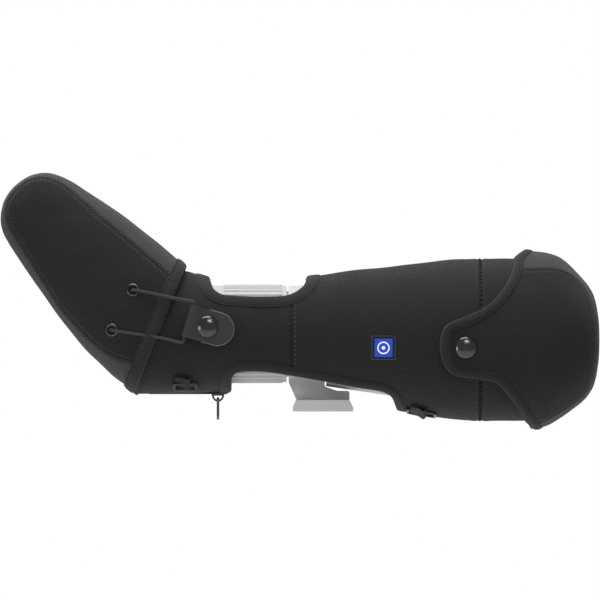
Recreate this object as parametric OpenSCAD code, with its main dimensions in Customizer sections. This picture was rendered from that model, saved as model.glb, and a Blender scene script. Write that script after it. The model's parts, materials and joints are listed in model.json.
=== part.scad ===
// Angled spotting scope in a padded stay-on case.
// +X runs along the optical axis towards the objective, +Z is up, and the origin is the centre of the
// foot's base face. The eyepiece rises to the rear. Left is +Y, for someone looking through the scope.

/* [Optical tube] */
// Height of the optical axis above the foot's base face
axis_z = 54; // [50:0.5:62]
// Outer radius of the inner body tube that carries the collar and the focus ring
body_tube_r = 30; // [28:0.5:31]
// Wall of the turned metal tubes
tube_wall = 2.5; // [2:0.1:3]
// Outer radius of the focus ring over its ribs
focus_ring_r = 34.5; // [33.5:0.1:34.8]
// Length of the focus ring
focus_ring_len = 52; // [44:1:54]
// Ribs round the focus ring
focus_ribs = 40; // [24:2:60]
// Outer radius of the objective barrel where it starts
barrel_r = 36.6; // [35.5:0.1:37]
// Outer radius of the barrel where its flare eases
flare_r = 43.4; // [42:0.1:43.5]
// Outer radius of the sunshade
sunshade_r = 47; // [46:0.1:47.2]
// Length of the sunshade
sunshade_len = 74; // [64:1:76]
// Clear radius of the objective lenses
lens_r = 40.5; // [37:0.5:41.5]

/* [Eyepiece] */
// Angle of the eyepiece axis above the optical axis
eye_angle = 45; // [45:1:45]
// Outer radius of the eyepiece barrel
eye_barrel_r = 24; // [22:0.5:25]
// Outer radius of the zoom ring
zoom_ring_r = 29; // [27:0.5:30]
// Ribs round the zoom ring
zoom_ribs = 28; // [16:2:40]
// Outer radius of the eyecup
eyecup_r = 22.5; // [21:0.5:22.5]
// How far the eyecup twists up
eyecup_travel = 10; // [6:0.5:10]

/* [Tripod foot] */
// Length of the foot's base along the scope
foot_len = 42; // [38:1:46]
// Width of the foot's base across the scope
foot_width = 52; // [42:1:54]
// Radius of the tripod screw's hole
tripod_hole_r = 3.175; // [2.5:0.025:4.8]
// Depth of the tripod screw's hole
tripod_hole_depth = 10; // [7:0.5:12]
// Width of the collar along the scope
collar_len = 25.2; // [22:0.2:26]

/* [Case] */
// Thickness of the padded case material
pad = 2.8; // [2.3:0.1:2.8]
// Outer radius of the case round the prism housing
rear_case_r = 42; // [42:0.1:44]
// Outer radius of the case round the objective
front_case_r = 56.5; // [56.5:0.1:58]
// How far the case round the objective hangs below the optical axis
case_sag = 4; // [3.6:0.1:4.2]
// Outer radius of the front cover
cap_r = 62.3; // [62.2:0.1:64]
// Width of the edge binding
binding_w = 6; // [4:0.5:7]
// Thickness of the edge binding on one face
binding_t = 1; // [0.6:0.1:1]

/* [Fasteners] */
// Radius of a snap button's cap
snap_r = 7.6; // [6:0.1:8.5]
// Height that a snap stud stands out of the case
stud_h = 1.6; // [1.4:0.1:1.6]
// Radius of the hood's elastic cord
cord_r = 1.4; // [1:0.1:1.4]
// Width of the pull tab
tab_w = 23; // [18:0.5:26]
// Length of the pull tab from its roll to its round end
tab_len = 32; // [28:0.5:36]

/* [Hidden] */
$fn = 64;
far = 200;            // reach of the planes and blocks that trim a shape
fit = 0.05;           // running clearance between turned pieces
gap = 0.3;            // clearance between soft pieces of different bodies

// Stations along the optical axis
mitre_x = -115;       // where the eyepiece axis leaves the optical axis
housing_front_x = -78.5;
ring_x = -77.5;       // rear face of the focus ring
collar_x = ring_x + focus_ring_len + 1.5;
barrel_x = collar_x + collar_len + 1;
flare_x = 48;         // where the barrel's flare eases
barrel_cyl_x = 80;    // where the barrel reaches the sunshade's radius
case_seam_x = -21.7;  // seam between the rear and the barrel panels of the case
case_cyl_x = 95;      // where the case stops widening
case_front_seam_x = 112;
case_end_x = 160;
case_neck_x = -85;    // where the rear panel starts to narrow
sunshade_x = 88;      // rear end of the sunshade

// Radii that follow from the fits
sleeve_r = sunshade_r - tube_wall - 0.15;         // of the barrel under the sunshade
seam_case_r = focus_ring_r + 1.4 + pad;            // of the case at the rear seam
front_z = axis_z - case_sag;                      // centre of the case round the objective
cap_z = front_z - 0.3;                            // centre of the front cover
cap_wall = 3.5;
cap_in_r = cap_r - cap_wall;
housing_r = rear_case_r - pad - 0.5;
neck_case_r = rear_case_r - 2.1;
neck_r = neck_case_r - pad - 0.4;
mount_r = zoom_ring_r + 1;                        // of the housing's eyepiece mount

function unit(v) = v / norm(v);
function left(v) = [-v.y, v.x];
function flat(p) = [p.x, p.y];
function wrap(a) = a > 180 ? a - 360 : a < -180 ? a + 360 : a;

// The corner at p, between points a and b, as an arc of radius r in n steps.
function fillet(a, p, b, r, n) = r == 0 ? [p] :
    let (u = unit(a - p), v = unit(b - p), half = acos(u * v) / 2,
         c = p + unit(u + v) * r / sin(half),
         s = p + u * r / tan(half),
         e = p + v * r / tan(half),
         start = atan2(s.y - c.y, s.x - c.x),
         sweep = wrap(atan2(e.y - c.y, e.x - c.x) - start))
    [for (i = [0:n]) c + r * [cos(start + sweep * i / n), sin(start + sweep * i / n)]];

// A closed outline of [x, y, corner radius] points, with its corners rounded.
function rounded(path, n = 6) = let (m = len(path))
    [for (i = [0:m - 1])
        each fillet(flat(path[(i + m - 1) % m]), flat(path[i]), flat(path[(i + 1) % m]), path[i].z, n)];

// The same outline with every edge moved g to its left; round corners keep their centres.
function shifted(path, g) = let (m = len(path))
    [for (i = [0:m - 1])
        let (p = flat(path[i]), u = unit(p - flat(path[(i + m - 1) % m])),
             v = unit(flat(path[(i + 1) % m]) - p), q = p + g * (left(u) + left(v)) / (1 + u * v))
        [q.x, q.y, path[i].z == 0 ? 0 : path[i].z - g * sign(cross(u, v))]];

// An outline whose heights are counted from the optical axis.
function from_axis(path) = [for (p = path) [p.x, p.y + axis_z, p.z]];
// Outlines seen from the side, as [x, height over the optical axis, corner radius], counter-clockwise.
top_cutout = from_axis([[-74, 25.8, 16], [-21, 25.8, 16], [20, 76, 0], [-83, 76, 0]]);
bottom_cutout = from_axis([[-66, -114, 0], [58, -114, 0], [50, -45, 9], [42, -41, 9], [-44, -25, 30],
    [-65, -25.5, 9]]);
cap_mouth = from_axis([[167, -94, 0], [240, -94, 0], [240, 96, 0], [151, 96, 0],
    [114, 10, 35], [81, -1.5, 9], [81, -33, 11], [118, -36, 20]]);
cap_side = from_axis([[60, -49, 0], [132, -58, 0], [168, -52, 22], [182, -30, 24], [183, 8, 26],
    [172, 42, 20], [138, 44, 0], [60, 44, 0]]);

// Children drawn along +Z are laid along the optical axis, from x.
module on_axis(x, z = axis_z) translate([x, 0, z]) rotate([0, 90, 0]) children();
// Children drawn along +Z are laid along the eyepiece axis; +X then points up and forward.
module on_eye(s = 0) translate([mitre_x, 0, axis_z]) rotate([0, -eye_angle, 0]) translate([0, 0, s]) children();
// Children drawn along +Z at the origin point out of the right side (-Y).
module out_right(x, y, z) translate([x, -y, z]) rotate([90, 0, 0]) children();
module tube(r, r_in, h) difference() {
    cylinder(r = r, h = h);
    translate([0, 0, -1]) cylinder(r = r_in, h = h + 2);
}
// A side outline, extruded right through the part.
module side_block(path, half_width = far) rotate([90, 0, 0])
    translate([0, 0, -half_width]) linear_extrude(2 * half_width) polygon(rounded(path));
// Everything between two stations along X.
module slab(x0, x1) translate([x0, -far, -far]) cube([x1 - x0, 2 * far, 2 * far]);
// Everything behind (side -1) or ahead of (side 1) the mitre plane, moved d along its normal.
module mitre_side(side, d = 0) translate([mitre_x, 0, axis_z]) rotate([0, eye_angle / 2, 0])
    translate([side > 0 ? d : -2 * far + d, -far, -far]) cube([2 * far, 2 * far, 2 * far]);
module right_half() translate([-far, -2 * far, -far]) cube([2 * far, 2 * far, 2 * far]);

/* ---- Tripod foot ---- */
stem = [[collar_x, axis_z - body_tube_r - 1, 0], [collar_x, 20, 4], [-foot_len / 2 + 2.4, 8, 0],
    [foot_len / 2 - 2.5, 8, 0], [foot_len / 2 - 2.5, 14, 1.5], [10, 14, 5],
    [collar_x + collar_len, 17, 2], [collar_x + collar_len, axis_z - body_tube_r - 1, 0]];
dovetail = [[-foot_len / 2, 0], [foot_len / 2, 0], [foot_len / 2, 2.7],
    [foot_len / 2 - 2.5, 8], [-foot_len / 2 + 2.4, 8], [-foot_len / 2, 2.7]];
stem_w = 24;
lock_x = -11;
lock_z = 14.5;
lock_shaft_r = 2;
lock_head_r = 3.9;
module tripod_collar() color("gainsboro") difference() {
    union() {
        on_axis(collar_x) cylinder(r = barrel_r - 2.9, h = collar_len);
        side_block(stem, stem_w / 2);
        rotate([90, 0, 0]) translate([0, 0, -foot_width / 2])
            linear_extrude(foot_width) polygon(dovetail);
    }
    on_axis(collar_x - 1) cylinder(r = body_tube_r + fit, h = collar_len + 2);
    translate([0, 0, -1]) cylinder(r = tripod_hole_r, h = tripod_hole_depth + 1);
    translate([lock_x, 2, lock_z]) rotate([-90, 0, 0]) cylinder(r = lock_shaft_r + fit, h = stem_w);
}
module collar_lock_screw() color("dimgray") translate([lock_x, stem_w / 2, lock_z]) rotate([-90, 0, 0]) {
    translate([0, 0, -9]) cylinder(r = lock_shaft_r, h = 10);
    difference() {
        translate([0, 0, gap]) cylinder(r = lock_head_r, h = 5.5);
        for (a = [0:30:330]) rotate([0, 0, a]) translate([lock_head_r + 0.4, 0, 1.3]) cylinder(r = 0.9, h = 8);
    }
}

/* ---- Tube and prism ---- */
module body_tube() color("silver") difference() {
    on_axis(housing_front_x - 6) tube(body_tube_r, body_tube_r - tube_wall, barrel_x + 8 - housing_front_x + 6);
    // slot for the focus lens's drive pin
    translate([focus_x - 14, -2.1, axis_z - body_tube_r - 1]) cube([28, 4.2, 6]);
}
module elbow(r_tube, r_neck, s_end) {
    intersection() { on_axis(-160) cylinder(r = r_tube, h = far); mitre_side(1); }
    intersection() { on_eye(-60) cylinder(r = r_neck, h = 60 + s_end); mitre_side(-1, 0.01); }
}
module prism_housing() color("silver") difference() {
    union() {
        elbow(housing_r, neck_r, 17);
        on_eye(10) cylinder(r = mount_r, h = 32);
    }
    elbow(housing_r - 3, neck_r - 3, 14);
    on_eye(0) cylinder(r = mount_r - 4, h = 60);
    slab(housing_front_x, far);
    on_axis(housing_front_x - 20) cylinder(r = body_tube_r, h = 30);
}
// Ring and shelf that hold the prism behind the end of the body tube.
module prism_cradle() color("dimgray") {
    on_axis(housing_front_x - 9.2) tube(housing_r - 3.02, 20, 3);
    translate([-114, -17, prism_z - 3]) cube([housing_front_x - 7 + 114, 34, 3]);
}
prism_z = axis_z - 22.8;       // underside of the prism
// Roof prism block: light comes in along X and leaves along the eyepiece axis.
module prism() color("lightcyan") rotate([90, 0, 0]) translate([0, 0, -16])
    linear_extrude(32) polygon([[-88, prism_z], [-88, axis_z + 22], [-101, axis_z + 26],
        [-128, axis_z + 13], [-133, axis_z], [-118, prism_z]]);

/* ---- Objective ---- */
module objective_barrel() color("gainsboro")
    on_axis(0) rotate_extrude() polygon([
        [body_tube_r, barrel_x], [barrel_r, barrel_x], [flare_r, flare_x], [sunshade_r, barrel_cyl_x],
        [sleeve_r, barrel_cyl_x], [sleeve_r, 130], [sleeve_r - 2, 130], [sleeve_r - 2, barrel_cyl_x],
        [flare_r - 2, flare_x], [barrel_r - 2, barrel_x + 8], [body_tube_r, barrel_x + 8]]);
cell_x = 98;
module objective_cell() color("dimgray") difference() {
    on_axis(cell_x) cylinder(r = sleeve_r - 2, h = 22);
    on_axis(cell_x - 1) cylinder(r = lens_r - 2.5, h = 30);
    on_axis(cell_x + 2) cylinder(r = lens_r + 0.02, h = 30);
}
// A lens with two spherical faces: edge thickness t, radii of curvature as the profile's bulge b0 and b1.
module lens(r, t, b0, b1) {
    function cap(b, i, n) = b == 0 ? 0 : let (rc = (r * r + b * b) / (2 * abs(b)), y = r * i / n)
        sign(b) * (sqrt(rc * rc - y * y) - (rc - abs(b)));
    steps = 8;
    rotate_extrude() polygon(concat(
        [for (i = [0:steps]) [r * i / steps, -cap(b0, i, steps)]],
        [for (i = [steps:-1:0]) [r * i / steps, t + cap(b1, i, steps)]]));
}
module objective_front_lens() color("lightcyan") on_axis(cell_x + 12) lens(lens_r, 5, 0.8, 4);
module objective_rear_lens() color("lightcyan") on_axis(cell_x + 3) lens(lens_r, 6, 0, 1.5);
module objective_retainer() color("dimgray") on_axis(cell_x + 17.7) tube(lens_r - 0.02, lens_r - 3, 4.3);

/* ---- Focusing ---- */
focus_x = -20;
grip_wall = 2;
module focus_ring() color("gainsboro") difference() {
    on_axis(ring_x) cylinder(r = focus_ring_r - grip_wall, h = focus_ring_len);
    on_axis(ring_x - 1) cylinder(r = body_tube_r + fit, h = focus_ring_len + 2);
    // relief behind the grip's land
    on_axis(ring_x + 8) cylinder(r = body_tube_r + 0.8, h = focus_ring_len - 16);
}
module focus_grip() color("whitesmoke") on_axis(ring_x) difference() {
    union() {
        cylinder(r = focus_ring_r - 0.7, h = focus_ring_len);
        for (a = [0:360 / focus_ribs:359]) rotate([0, 0, a])
            translate([focus_ring_r - 1.1, 0, 8]) cylinder(r = 1.1, h = focus_ring_len - 11);
    }
    translate([0, 0, -1]) cylinder(r = focus_ring_r - grip_wall, h = focus_ring_len + 2);
}
module focus_lens_cell() color("dimgray") {
    on_axis(focus_x - 7) tube(body_tube_r - tube_wall - 0.1, 22.02, 14);
    translate([focus_x, 0, axis_z - body_tube_r + 0.3]) cylinder(r = 1.9, h = tube_wall + 2);
}
module focus_lens() color("lightcyan") on_axis(focus_x - 3) lens(22, 5, 2, -1.2);

/* ---- Eyepiece, along its own axis ---- */
bayonet_s = 42;
zoom_s = 55;
zoom_len = 24;
cup_s = 90;
zoom_cell_s = 68;
module eyepiece_bayonet() color("silver") on_eye(bayonet_s) difference() {
    tube(mount_r, 20, 8);
    for (a = [0:120:240]) rotate([0, 0, a]) translate([mount_r, 0, 5]) cylinder(r = 2, h = 5);
}
module eyepiece_barrel() color("dimgray") on_eye(bayonet_s + 8) difference() {
    union() {
        cylinder(r = eye_barrel_r, h = 38);
        cylinder(r = mount_r - 1, h = 4);
        translate([0, 0, 38]) cylinder(r = 18, h = 22);
    }
    translate([0, 0, -1]) cylinder(r = eye_barrel_r - 3, h = 38);
    translate([0, 0, 30]) cylinder(r = 15, h = 40);
    // straight slot that guides the zoom lens's pin
    translate([eye_barrel_r - 6, -1.6, zoom_s - bayonet_s - 6]) cube([10, 3.2, 22]);
}
module field_lens() color("lightcyan") on_eye(bayonet_s + 9) lens(eye_barrel_r - 3.02, 4, 0, 2);
module eye_lens() color("lightcyan") on_eye(bayonet_s + 60) lens(14.98, 5, 2, 1);
module zoom_ring() color("dimgray") on_eye(zoom_s)
    tube(zoom_ring_r - 2, eye_barrel_r + fit, zoom_len);
module zoom_grip() color("black") on_eye(zoom_s) difference() {
    union() {
        cylinder(r = zoom_ring_r - 0.8, h = zoom_len);
        for (a = [0:360 / zoom_ribs:359]) rotate([0, 0, a])
            translate([zoom_ring_r - 1.2, 0, 3]) cylinder(r = 1.2, h = zoom_len - 6);
    }
    translate([0, 0, -1]) cylinder(r = zoom_ring_r - 2, h = zoom_len + 2);
}
module zoom_lens_cell() color("dimgray") on_eye(zoom_cell_s - 3) {
    tube(eye_barrel_r - 3.1, 16.02, 7);
    translate([eye_barrel_r - 5, 0, 3.5]) rotate([0, 90, 0]) cylinder(r = 1.5, h = 4.7);
}
module zoom_lens() color("lightcyan") on_eye(zoom_cell_s - 1) lens(16, 3, 1, 1);
module eyecup_helix() color("dimgray") on_eye(cup_s) tube(19.6, 18 + fit, 18);
module eyecup_sleeve() color("dimgray") on_eye(cup_s) tube(21, 19.6 + fit, 24);
module eyecup_rubber() color("black") on_eye(cup_s) difference() {
    rotate_extrude() polygon(concat(
        [[21, 0], [eyecup_r, 0]],
        [for (a = [0:15:180]) [eyecup_r - 2.5 + 2.5 * cos(a), 25.5 + 2.5 * sin(a)]],
        [[eyecup_r - 5, 24], [21, 24]]));
}

/* ---- Sunshade ---- */
module sunshade() color("gainsboro") on_axis(sunshade_x)
    tube(sunshade_r, sunshade_r - tube_wall, sunshade_len);
module sunshade_bumper() color("dimgray") on_axis(sunshade_x + sunshade_len)
    tube(sunshade_r, sunshade_r - tube_wall - 1, 3);

/* ---- Case body ---- */
// The case's solid form from the prism housing to the objective, with its radius changed by d.
sag_tilt = atan(case_sag / (case_cyl_x - case_seam_x));
cone_end_r = front_case_r - 0.5;    // a small step, under the seam's stitching
cone_slope = (cone_end_r - seam_case_r) / (case_cyl_x - case_seam_x);
function case_r(x) = x < case_neck_x ? rear_case_r
    : x < case_seam_x ? rear_case_r + (seam_case_r - rear_case_r) * (x - case_neck_x) / (case_seam_x - case_neck_x)
    : x < case_cyl_x ? seam_case_r + cone_slope * (x - case_seam_x) : front_case_r;
function case_z(x) = x < case_seam_x ? axis_z
    : x < case_cyl_x ? axis_z - case_sag * (x - case_seam_x) / (case_cyl_x - case_seam_x) : front_z;
// Distance from the middle plane to the case's side at station x and height z.
function case_y(x, z) = sqrt(pow(case_r(x), 2) - pow(z - case_z(x), 2));
// One turned form for the straight part and the cone; it runs past the seam by lead.
module rear_form(d, lead = 0) intersection() {
    on_axis(0) rotate_extrude() polygon([[0, -160], [rear_case_r + d, -160], [rear_case_r + d, case_neck_x],
        each lead == 0 ? [[seam_case_r + d, case_seam_x]]
            : [[seam_case_r + d, case_seam_x], [seam_case_r + d, case_seam_x + lead]],
        [0, case_seam_x + lead]]);
    mitre_side(1);
}
module barrel_form(d) {
    lead = 6;
    intersection() {
        translate([case_seam_x, 0, axis_z]) rotate([0, 90 + sag_tilt, 0]) translate([0, 0, -lead])
            cylinder(r1 = seam_case_r + d - lead * cone_slope, r2 = cone_end_r + d + lead * cone_slope,
                h = (case_cyl_x - case_seam_x) / cos(sag_tilt) + 2 * lead);
        slab(case_seam_x, case_cyl_x + 0.5);
    }
    on_axis(case_cyl_x, front_z) cylinder(r = front_case_r + d, h = case_front_seam_x - case_cyl_x);
}
zip_w = 7;
zip_x = -122;
zip_z = axis_z - rear_case_r;
module cover_rear() color("#1c1d1e") difference() {
    union() {
        rear_form(0);
        intersection() { on_eye(-60) cylinder(r = neck_case_r, h = 77); mitre_side(-1, 0.01); }
    }
    rear_form(-pad, 1);
    intersection() { on_eye(-60) cylinder(r = neck_case_r - pad, h = 100); mitre_side(-1, 0.5); }
    side_block(top_cutout);
    side_block(bottom_cutout);
    translate([zip_x, -zip_w / 2, zip_z - 5]) cube([far, zip_w, 14]);
    both_sides() at_tab_snap() stud_seat();
}
module cover_barrel() color("#1c1d1e") difference() {
    barrel_form(0);
    barrel_form(-pad);
    on_axis(case_seam_x - 1) cylinder(r = seam_case_r - pad - 0.01, h = 2);
    on_axis(case_cyl_x, front_z) cylinder(r = front_case_r - pad, h = 40);
    side_block(top_cutout);
    side_block(bottom_cutout);
    both_sides() at_flap_snap() stud_seat();
}
module cover_front() color("#1c1d1e") on_axis(case_front_seam_x, front_z)
    tube(front_case_r, front_case_r - pad, case_end_x - case_front_seam_x);
module cutout_band(path) difference() {
    union() {
        difference() { rear_form(binding_t); rear_form(0); }
        difference() { barrel_form(binding_t); barrel_form(0); }
    }
    slab(-160, -100);
    difference() { slab(-150, 90); side_block(shifted(path, -binding_w)); }
    side_block(path);
    slab(70, far);
}
module top_cutout_binding() color("#262728") difference() {
    cutout_band(top_cutout);
    translate([-far, -far, axis_z + 6 - 2 * far]) cube(2 * far);
}
module bottom_cutout_binding() color("#262728") difference() {
    cutout_band(bottom_cutout);
    translate([-far, -far, axis_z + 6]) cube(2 * far);
    translate([-80, -zip_w / 2 - 4, zip_z - 22]) cube([20, zip_w + 8, 40]);
}
// Woven label, on the right side only: a black backing with a smaller coloured field on it.
label_x = 43;
label_z = axis_z - 9.6;
module label_layer(size, t0, t1) intersection() {
    difference() { barrel_form(t1); barrel_form(t0); }
    translate([label_x - size / 2, -far, label_z - size / 2]) cube([size, far, size]);
}
module label() {
    color("#18191a") label_layer(16.4, 0, 0.5);
    color("royalblue") label_layer(12.6, 0.5, 0.9);
}

/* ---- Snaps: drawn with the case's surface at z = 0 and out along +Z ---- */
snap_gap = 2.3;       // between the case and the tab that snaps on it
nose_r = 3.2;
plate_z = stud_h + 0.3;     // underside of the socket's plate, over the nose
plate_t = 0.5;
socket_r = 6;
rivet_r = 2;
stud_r = 5.2;         // of the stud's flange
// Flat sunk in the case's cloth under the stud's flange.
module stud_seat() cylinder(r = stud_r + fit, h = 4);
module snap_stud() {
    translate([0, 0, 0.02]) cylinder(r = stud_r, h = 0.5);
    translate([0, 0, 0.3]) cylinder(r = nose_r, h = stud_h - 0.3);
}
// Button cap with its rivet, and the socket, whose recess is open towards angle a. rise lifts the
// cap over a piece whose outside is not square to the snap.
module snap_top(t, a, under = snap_gap, rise = 0.1) {
    translate([0, 0, under + t + rise]) rotate_extrude() polygon(concat(
        [[0, 0], [snap_r, 0]],
        [for (i = [0:10:90]) [snap_r * cos(i), 0.8 + 2.6 * sin(i)]]));
    translate([0, 0, plate_z]) cylinder(r = rivet_r, h = under + t + rise + 0.2 - plate_z);
    difference() {
        translate([0, 0, 0.8]) cylinder(r = socket_r, h = plate_z + plate_t - 0.8);
        translate([0, 0, 0]) cylinder(r = nose_r + gap, h = plate_z);
        rotate([0, 0, a]) translate([0, 0.1 - nose_r - gap, 0])
            cube([10, 2 * (nose_r + gap) - 0.2, plate_z]);
    }
}
// What the socket's plate and the rivet take out of the piece they are fixed to.
module snap_pocket() {
    translate([0, 0, -1]) cylinder(r = socket_r + fit, h = 1 + plate_z + plate_t + fit);
    cylinder(r = rivet_r + fit, h = 12);
}
flap_snap = [98.7, axis_z - 9.2];       // [x, z] of the snap on the front cover's flap
tab_snap = [-80.5, axis_z + 5.2];       // [x, z] of the snap on the pull tab
module at_flap_snap() out_right(flap_snap.x, case_y(flap_snap.x, flap_snap.y), flap_snap.y) children();
module at_tab_snap() out_right(tab_snap.x, case_y(tab_snap.x, tab_snap.y), tab_snap.y) children();
module both_sides() { children(); mirror([0, 1, 0]) children(); }
module snap_studs() color("#2a2b2c") both_sides() {
    at_flap_snap() snap_stud();
    at_tab_snap() snap_stud();
}

/* ---- Front cover: revolved form about the X line at cap_z ---- */
cap_corner_x = 153;
cap_nose_x = 192.5;
cap_nose_r = 15;
module cap_form(d) on_axis(0, cap_z) rotate_extrude($fn = 96) polygon(concat(
    [[0, 60]], [[cap_r + d, 60]],
    [for (a = [0:9:90])
        [cap_nose_r + (cap_r + d - cap_nose_r) * pow(cos(a), 0.9),
         cap_corner_x + (cap_nose_x + d - cap_corner_x) * sin(a)]],
    [[0, cap_nose_x + d]]));
module cap_shell() difference() { cap_form(0); cap_form(-cap_wall); }
fold_x = 126;         // where the flap bends off the front cover
module cap_body() difference() {
    intersection() { cap_shell(); side_block(cap_mouth); }
    slab(0, fold_x);
}
module cap_gusset() color("#1f2021") difference() { cap_body(); side_block(cap_side); }
module cap_side_panels() color("#1c1d1e") intersection() { cap_body(); side_block(cap_side); }
module cap_edge() intersection() {
    difference() { cap_form(binding_t); cap_form(0); }
    difference() { side_block(cap_mouth); side_block(shifted(cap_mouth, binding_w)); }
    slab(0, 175);
}
module cap_binding() color("#262728") difference() { cap_edge(); slab(0, fold_x); }
module flap() color("#1c1d1e") difference() {
    intersection() {
        union() {
            intersection() { cap_shell(); side_block(cap_mouth); }
            cap_edge();
        }
        slab(0, fold_x - 0.05);
        right_half();
    }
    at_flap_snap() {
        snap_pocket();
        // Room in the binding for the button cap's edge.
        translate([0, 0, flap_gap + cap_wall + flap_swell]) cylinder(r = snap_r + fit, h = 4);
    }
}
module right_flap() flap();
module left_flap() mirror([0, 1, 0]) flap();
// Between the case and the inside of the front cover, at the flap's snap.
flap_gap = sqrt(pow(cap_in_r, 2) - pow(flap_snap.y - cap_z, 2)) - case_y(flap_snap.x, flap_snap.y);
// The flap's outside rises this far within the cap's radius, towards the front cover's middle height.
flap_swell = cap_r - sqrt(pow(cap_r, 2) - pow(flap_snap.y - cap_z, 2));
module right_flap_snap() color("#2a2b2c")
    at_flap_snap() snap_top(cap_wall, 180, flap_gap, flap_swell + 0.05);
module left_flap_snap() mirror([0, 1, 0]) right_flap_snap();

/* ---- Eyepiece hood, along the eyepiece axis ---- */
hood_h = 45.5;        // half height at the mouth
hood_w = 43.8;        // half width at the mouth
hood_tip_s = 112;     // where the round end starts
module hood_plate(s, h, w, d) translate([0, 0, s]) linear_extrude(0.1)
    offset(r = 26 + d, $fn = 48) square([2 * (h - 26), 2 * (w - 26)], center = true);
module hood_form(d) on_eye() hull() {
    hood_plate(-24, hood_h, hood_w, d);
    hood_plate(28, hood_h, hood_w - 0.3, d);
    hood_plate(95, 36, 35, d);
    translate([0, 0, hood_tip_s]) scale([(32.5 + d) / 32, (31 + d) / 32, (32 + d) / 32]) sphere(r = 32, $fn = 36);
}
module hood_shell() intersection() {
    difference() { hood_form(0); hood_form(-pad); }
    mitre_side(-1, -0.4);
}
// The side panel's outline in the eyepiece's own plane, as [height, distance, corner radius].
hood_panel = [[-37, -40, 0], [31, -40, 0], [30, 105, 0], [22, 138, 18], [-18, 138, 18], [-28, 100, 20], [-37, 50, 0]];
module hood_panel_block() on_eye() rotate([90, 0, 0]) translate([0, 0, -far])
    linear_extrude(2 * far) polygon(rounded(hood_panel));
eyelets = [[-132.3, axis_z + 30.6, 42.7], [-147, axis_z + 2.8, 43.5]];   // x, z and the hood's half width there
eyelet_r = 4.8;
module eyelet_posts(r, out, deep) both_sides() for (e = eyelets)
    out_right(e.x, e.z - deep, e.y) cylinder(r = r, h = deep + out);
module hood_gusset() color("#1f2021") difference() { hood_shell(); hood_panel_block(); }
module hood_side_panels() color("#1c1d1e") difference() {
    intersection() { hood_shell(); hood_panel_block(); }
    eyelet_posts(eyelet_r + fit, 10, 10);
}
module hood_binding() color("#262728") intersection() {
    difference() { hood_form(binding_t); hood_form(0); }
    difference() { mitre_side(-1, -0.4); mitre_side(-1, -0.4 - binding_w); }
}
module hood_eyelets() color("#2a2b2c") difference() {
    eyelet_posts(eyelet_r, 0.9, 4.2);
    eyelet_posts(3, 10, 10);
}
// Elastic cord: out of the upper eyelet, through the tab's roll and back into the lower eyelet.
cord_y = 46.6;
roll_top = [-89.7, axis_z + 21.3];
roll_low = [-96.6, axis_z - 3.2];
function knot_y(e) = e.z - 4.2 - 3.6;
cord_path = [[eyelets[0].x, -knot_y(eyelets[0]), eyelets[0].y], [eyelets[0].x, -cord_y, eyelets[0].y],
    [roll_top.x, -cord_y, roll_top.y], [roll_low.x, -cord_y, roll_low.y],
    [eyelets[1].x, -cord_y, eyelets[1].y], [eyelets[1].x, -knot_y(eyelets[1]), eyelets[1].y]];
module rod(a, b, r) {
    v = b - a;
    translate(a) rotate([0, acos(v.z / norm(v)), atan2(v.y, v.x)]) cylinder(r = r, h = norm(v));
}
module hood_cords() color("#2b2c2d") both_sides() union() {
    for (i = [0:len(cord_path) - 2]) rod(cord_path[i], cord_path[i + 1], cord_r);
    for (i = [1:len(cord_path) - 2]) translate(cord_path[i]) sphere(r = cord_r + 0.05);
    for (i = [0, len(cord_path) - 1]) translate(cord_path[i]) sphere(r = 3.4);
}

/* ---- Pull tab, drawn with its roll along +Y and its length along +X, out along +Z ---- */
tab_t = 1.6;
roll_w = tab_w - 1.4;     // the cord turns clear of the roll's ends
tab_dir = unit([roll_low.x - roll_top.x, roll_low.y - roll_top.y]);
tab_turn = atan2(tab_dir.y, tab_dir.x) + 90;     // the tab lies across its roll
roll_mid = [(roll_top.x + roll_low.x) / 2, (roll_top.y + roll_low.y) / 2];
tab_in = case_y(tab_snap.x, tab_snap.y) + snap_gap - cord_y;   // inner face, from the cord's centre
module tab_blank() difference() {
    union() {
        translate([0, -tab_w / 2, tab_in]) cube([tab_len - tab_w / 2, tab_w, tab_t]);
        translate([tab_len - tab_w / 2, 0, tab_in]) cylinder(r = tab_w / 2, h = tab_t);
        translate([0, -roll_w / 2, 0]) rotate([-90, 0, 0]) cylinder(r = cord_r + 1.5, h = roll_w);
    }
    translate([0, -tab_w, 0]) rotate([-90, 0, 0]) cylinder(r = cord_r + 0.15, h = 2 * tab_w);
}
module right_tab() color("#3a3b3d") difference() {
    out_right(roll_mid.x, cord_y, roll_mid.y) rotate([0, 0, tab_turn]) tab_blank();
    at_tab_snap() snap_pocket();
}
module left_tab() mirror([0, 1, 0]) right_tab();
module right_tab_snap() color("#2a2b2c") at_tab_snap() snap_top(tab_t, -eye_angle);
module left_tab_snap() mirror([0, 1, 0]) right_tab_snap();

/* ---- Strap loops and rings, on the right of the belly ---- */
ring_wire = 1;
front_tilt = 10;          // of the case's underside along the barrel
// Webbing sewn on the case at angle a from straight down, folded round a bar of radius ring_wire.
module strap_frame(x, a, tilt = 0) translate([x, 0, case_z(x)]) rotate([a, 0, 0])
    translate([0, 0, -case_r(x)]) rotate([0, tilt, 0]) children();
module strap_loop(w, len) {
    translate([-w / 2, -len - 1, -3.4]) cube([w, len, 1.2]);
    translate([-w / 2, -len - 1, -2.2]) cube([w, len, 1.2]);
    difference() {
        translate([-w / 2, 0, -2.3]) rotate([0, 90, 0]) cylinder(r = ring_wire + 1.3, h = w);
        translate([-w, 0, -2.3]) rotate([0, 90, 0]) cylinder(r = ring_wire + 0.1, h = 2 * w);
    }
}
module rear_strap_loop() color("#2b2c2d") strap_frame(-96, -38) strap_loop(12, 6);
module front_strap_loop() color("#2b2c2d") difference() {
    strap_frame(69, -20, front_tilt) strap_loop(16, 7);
    barrel_form(0.03);
}
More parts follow.
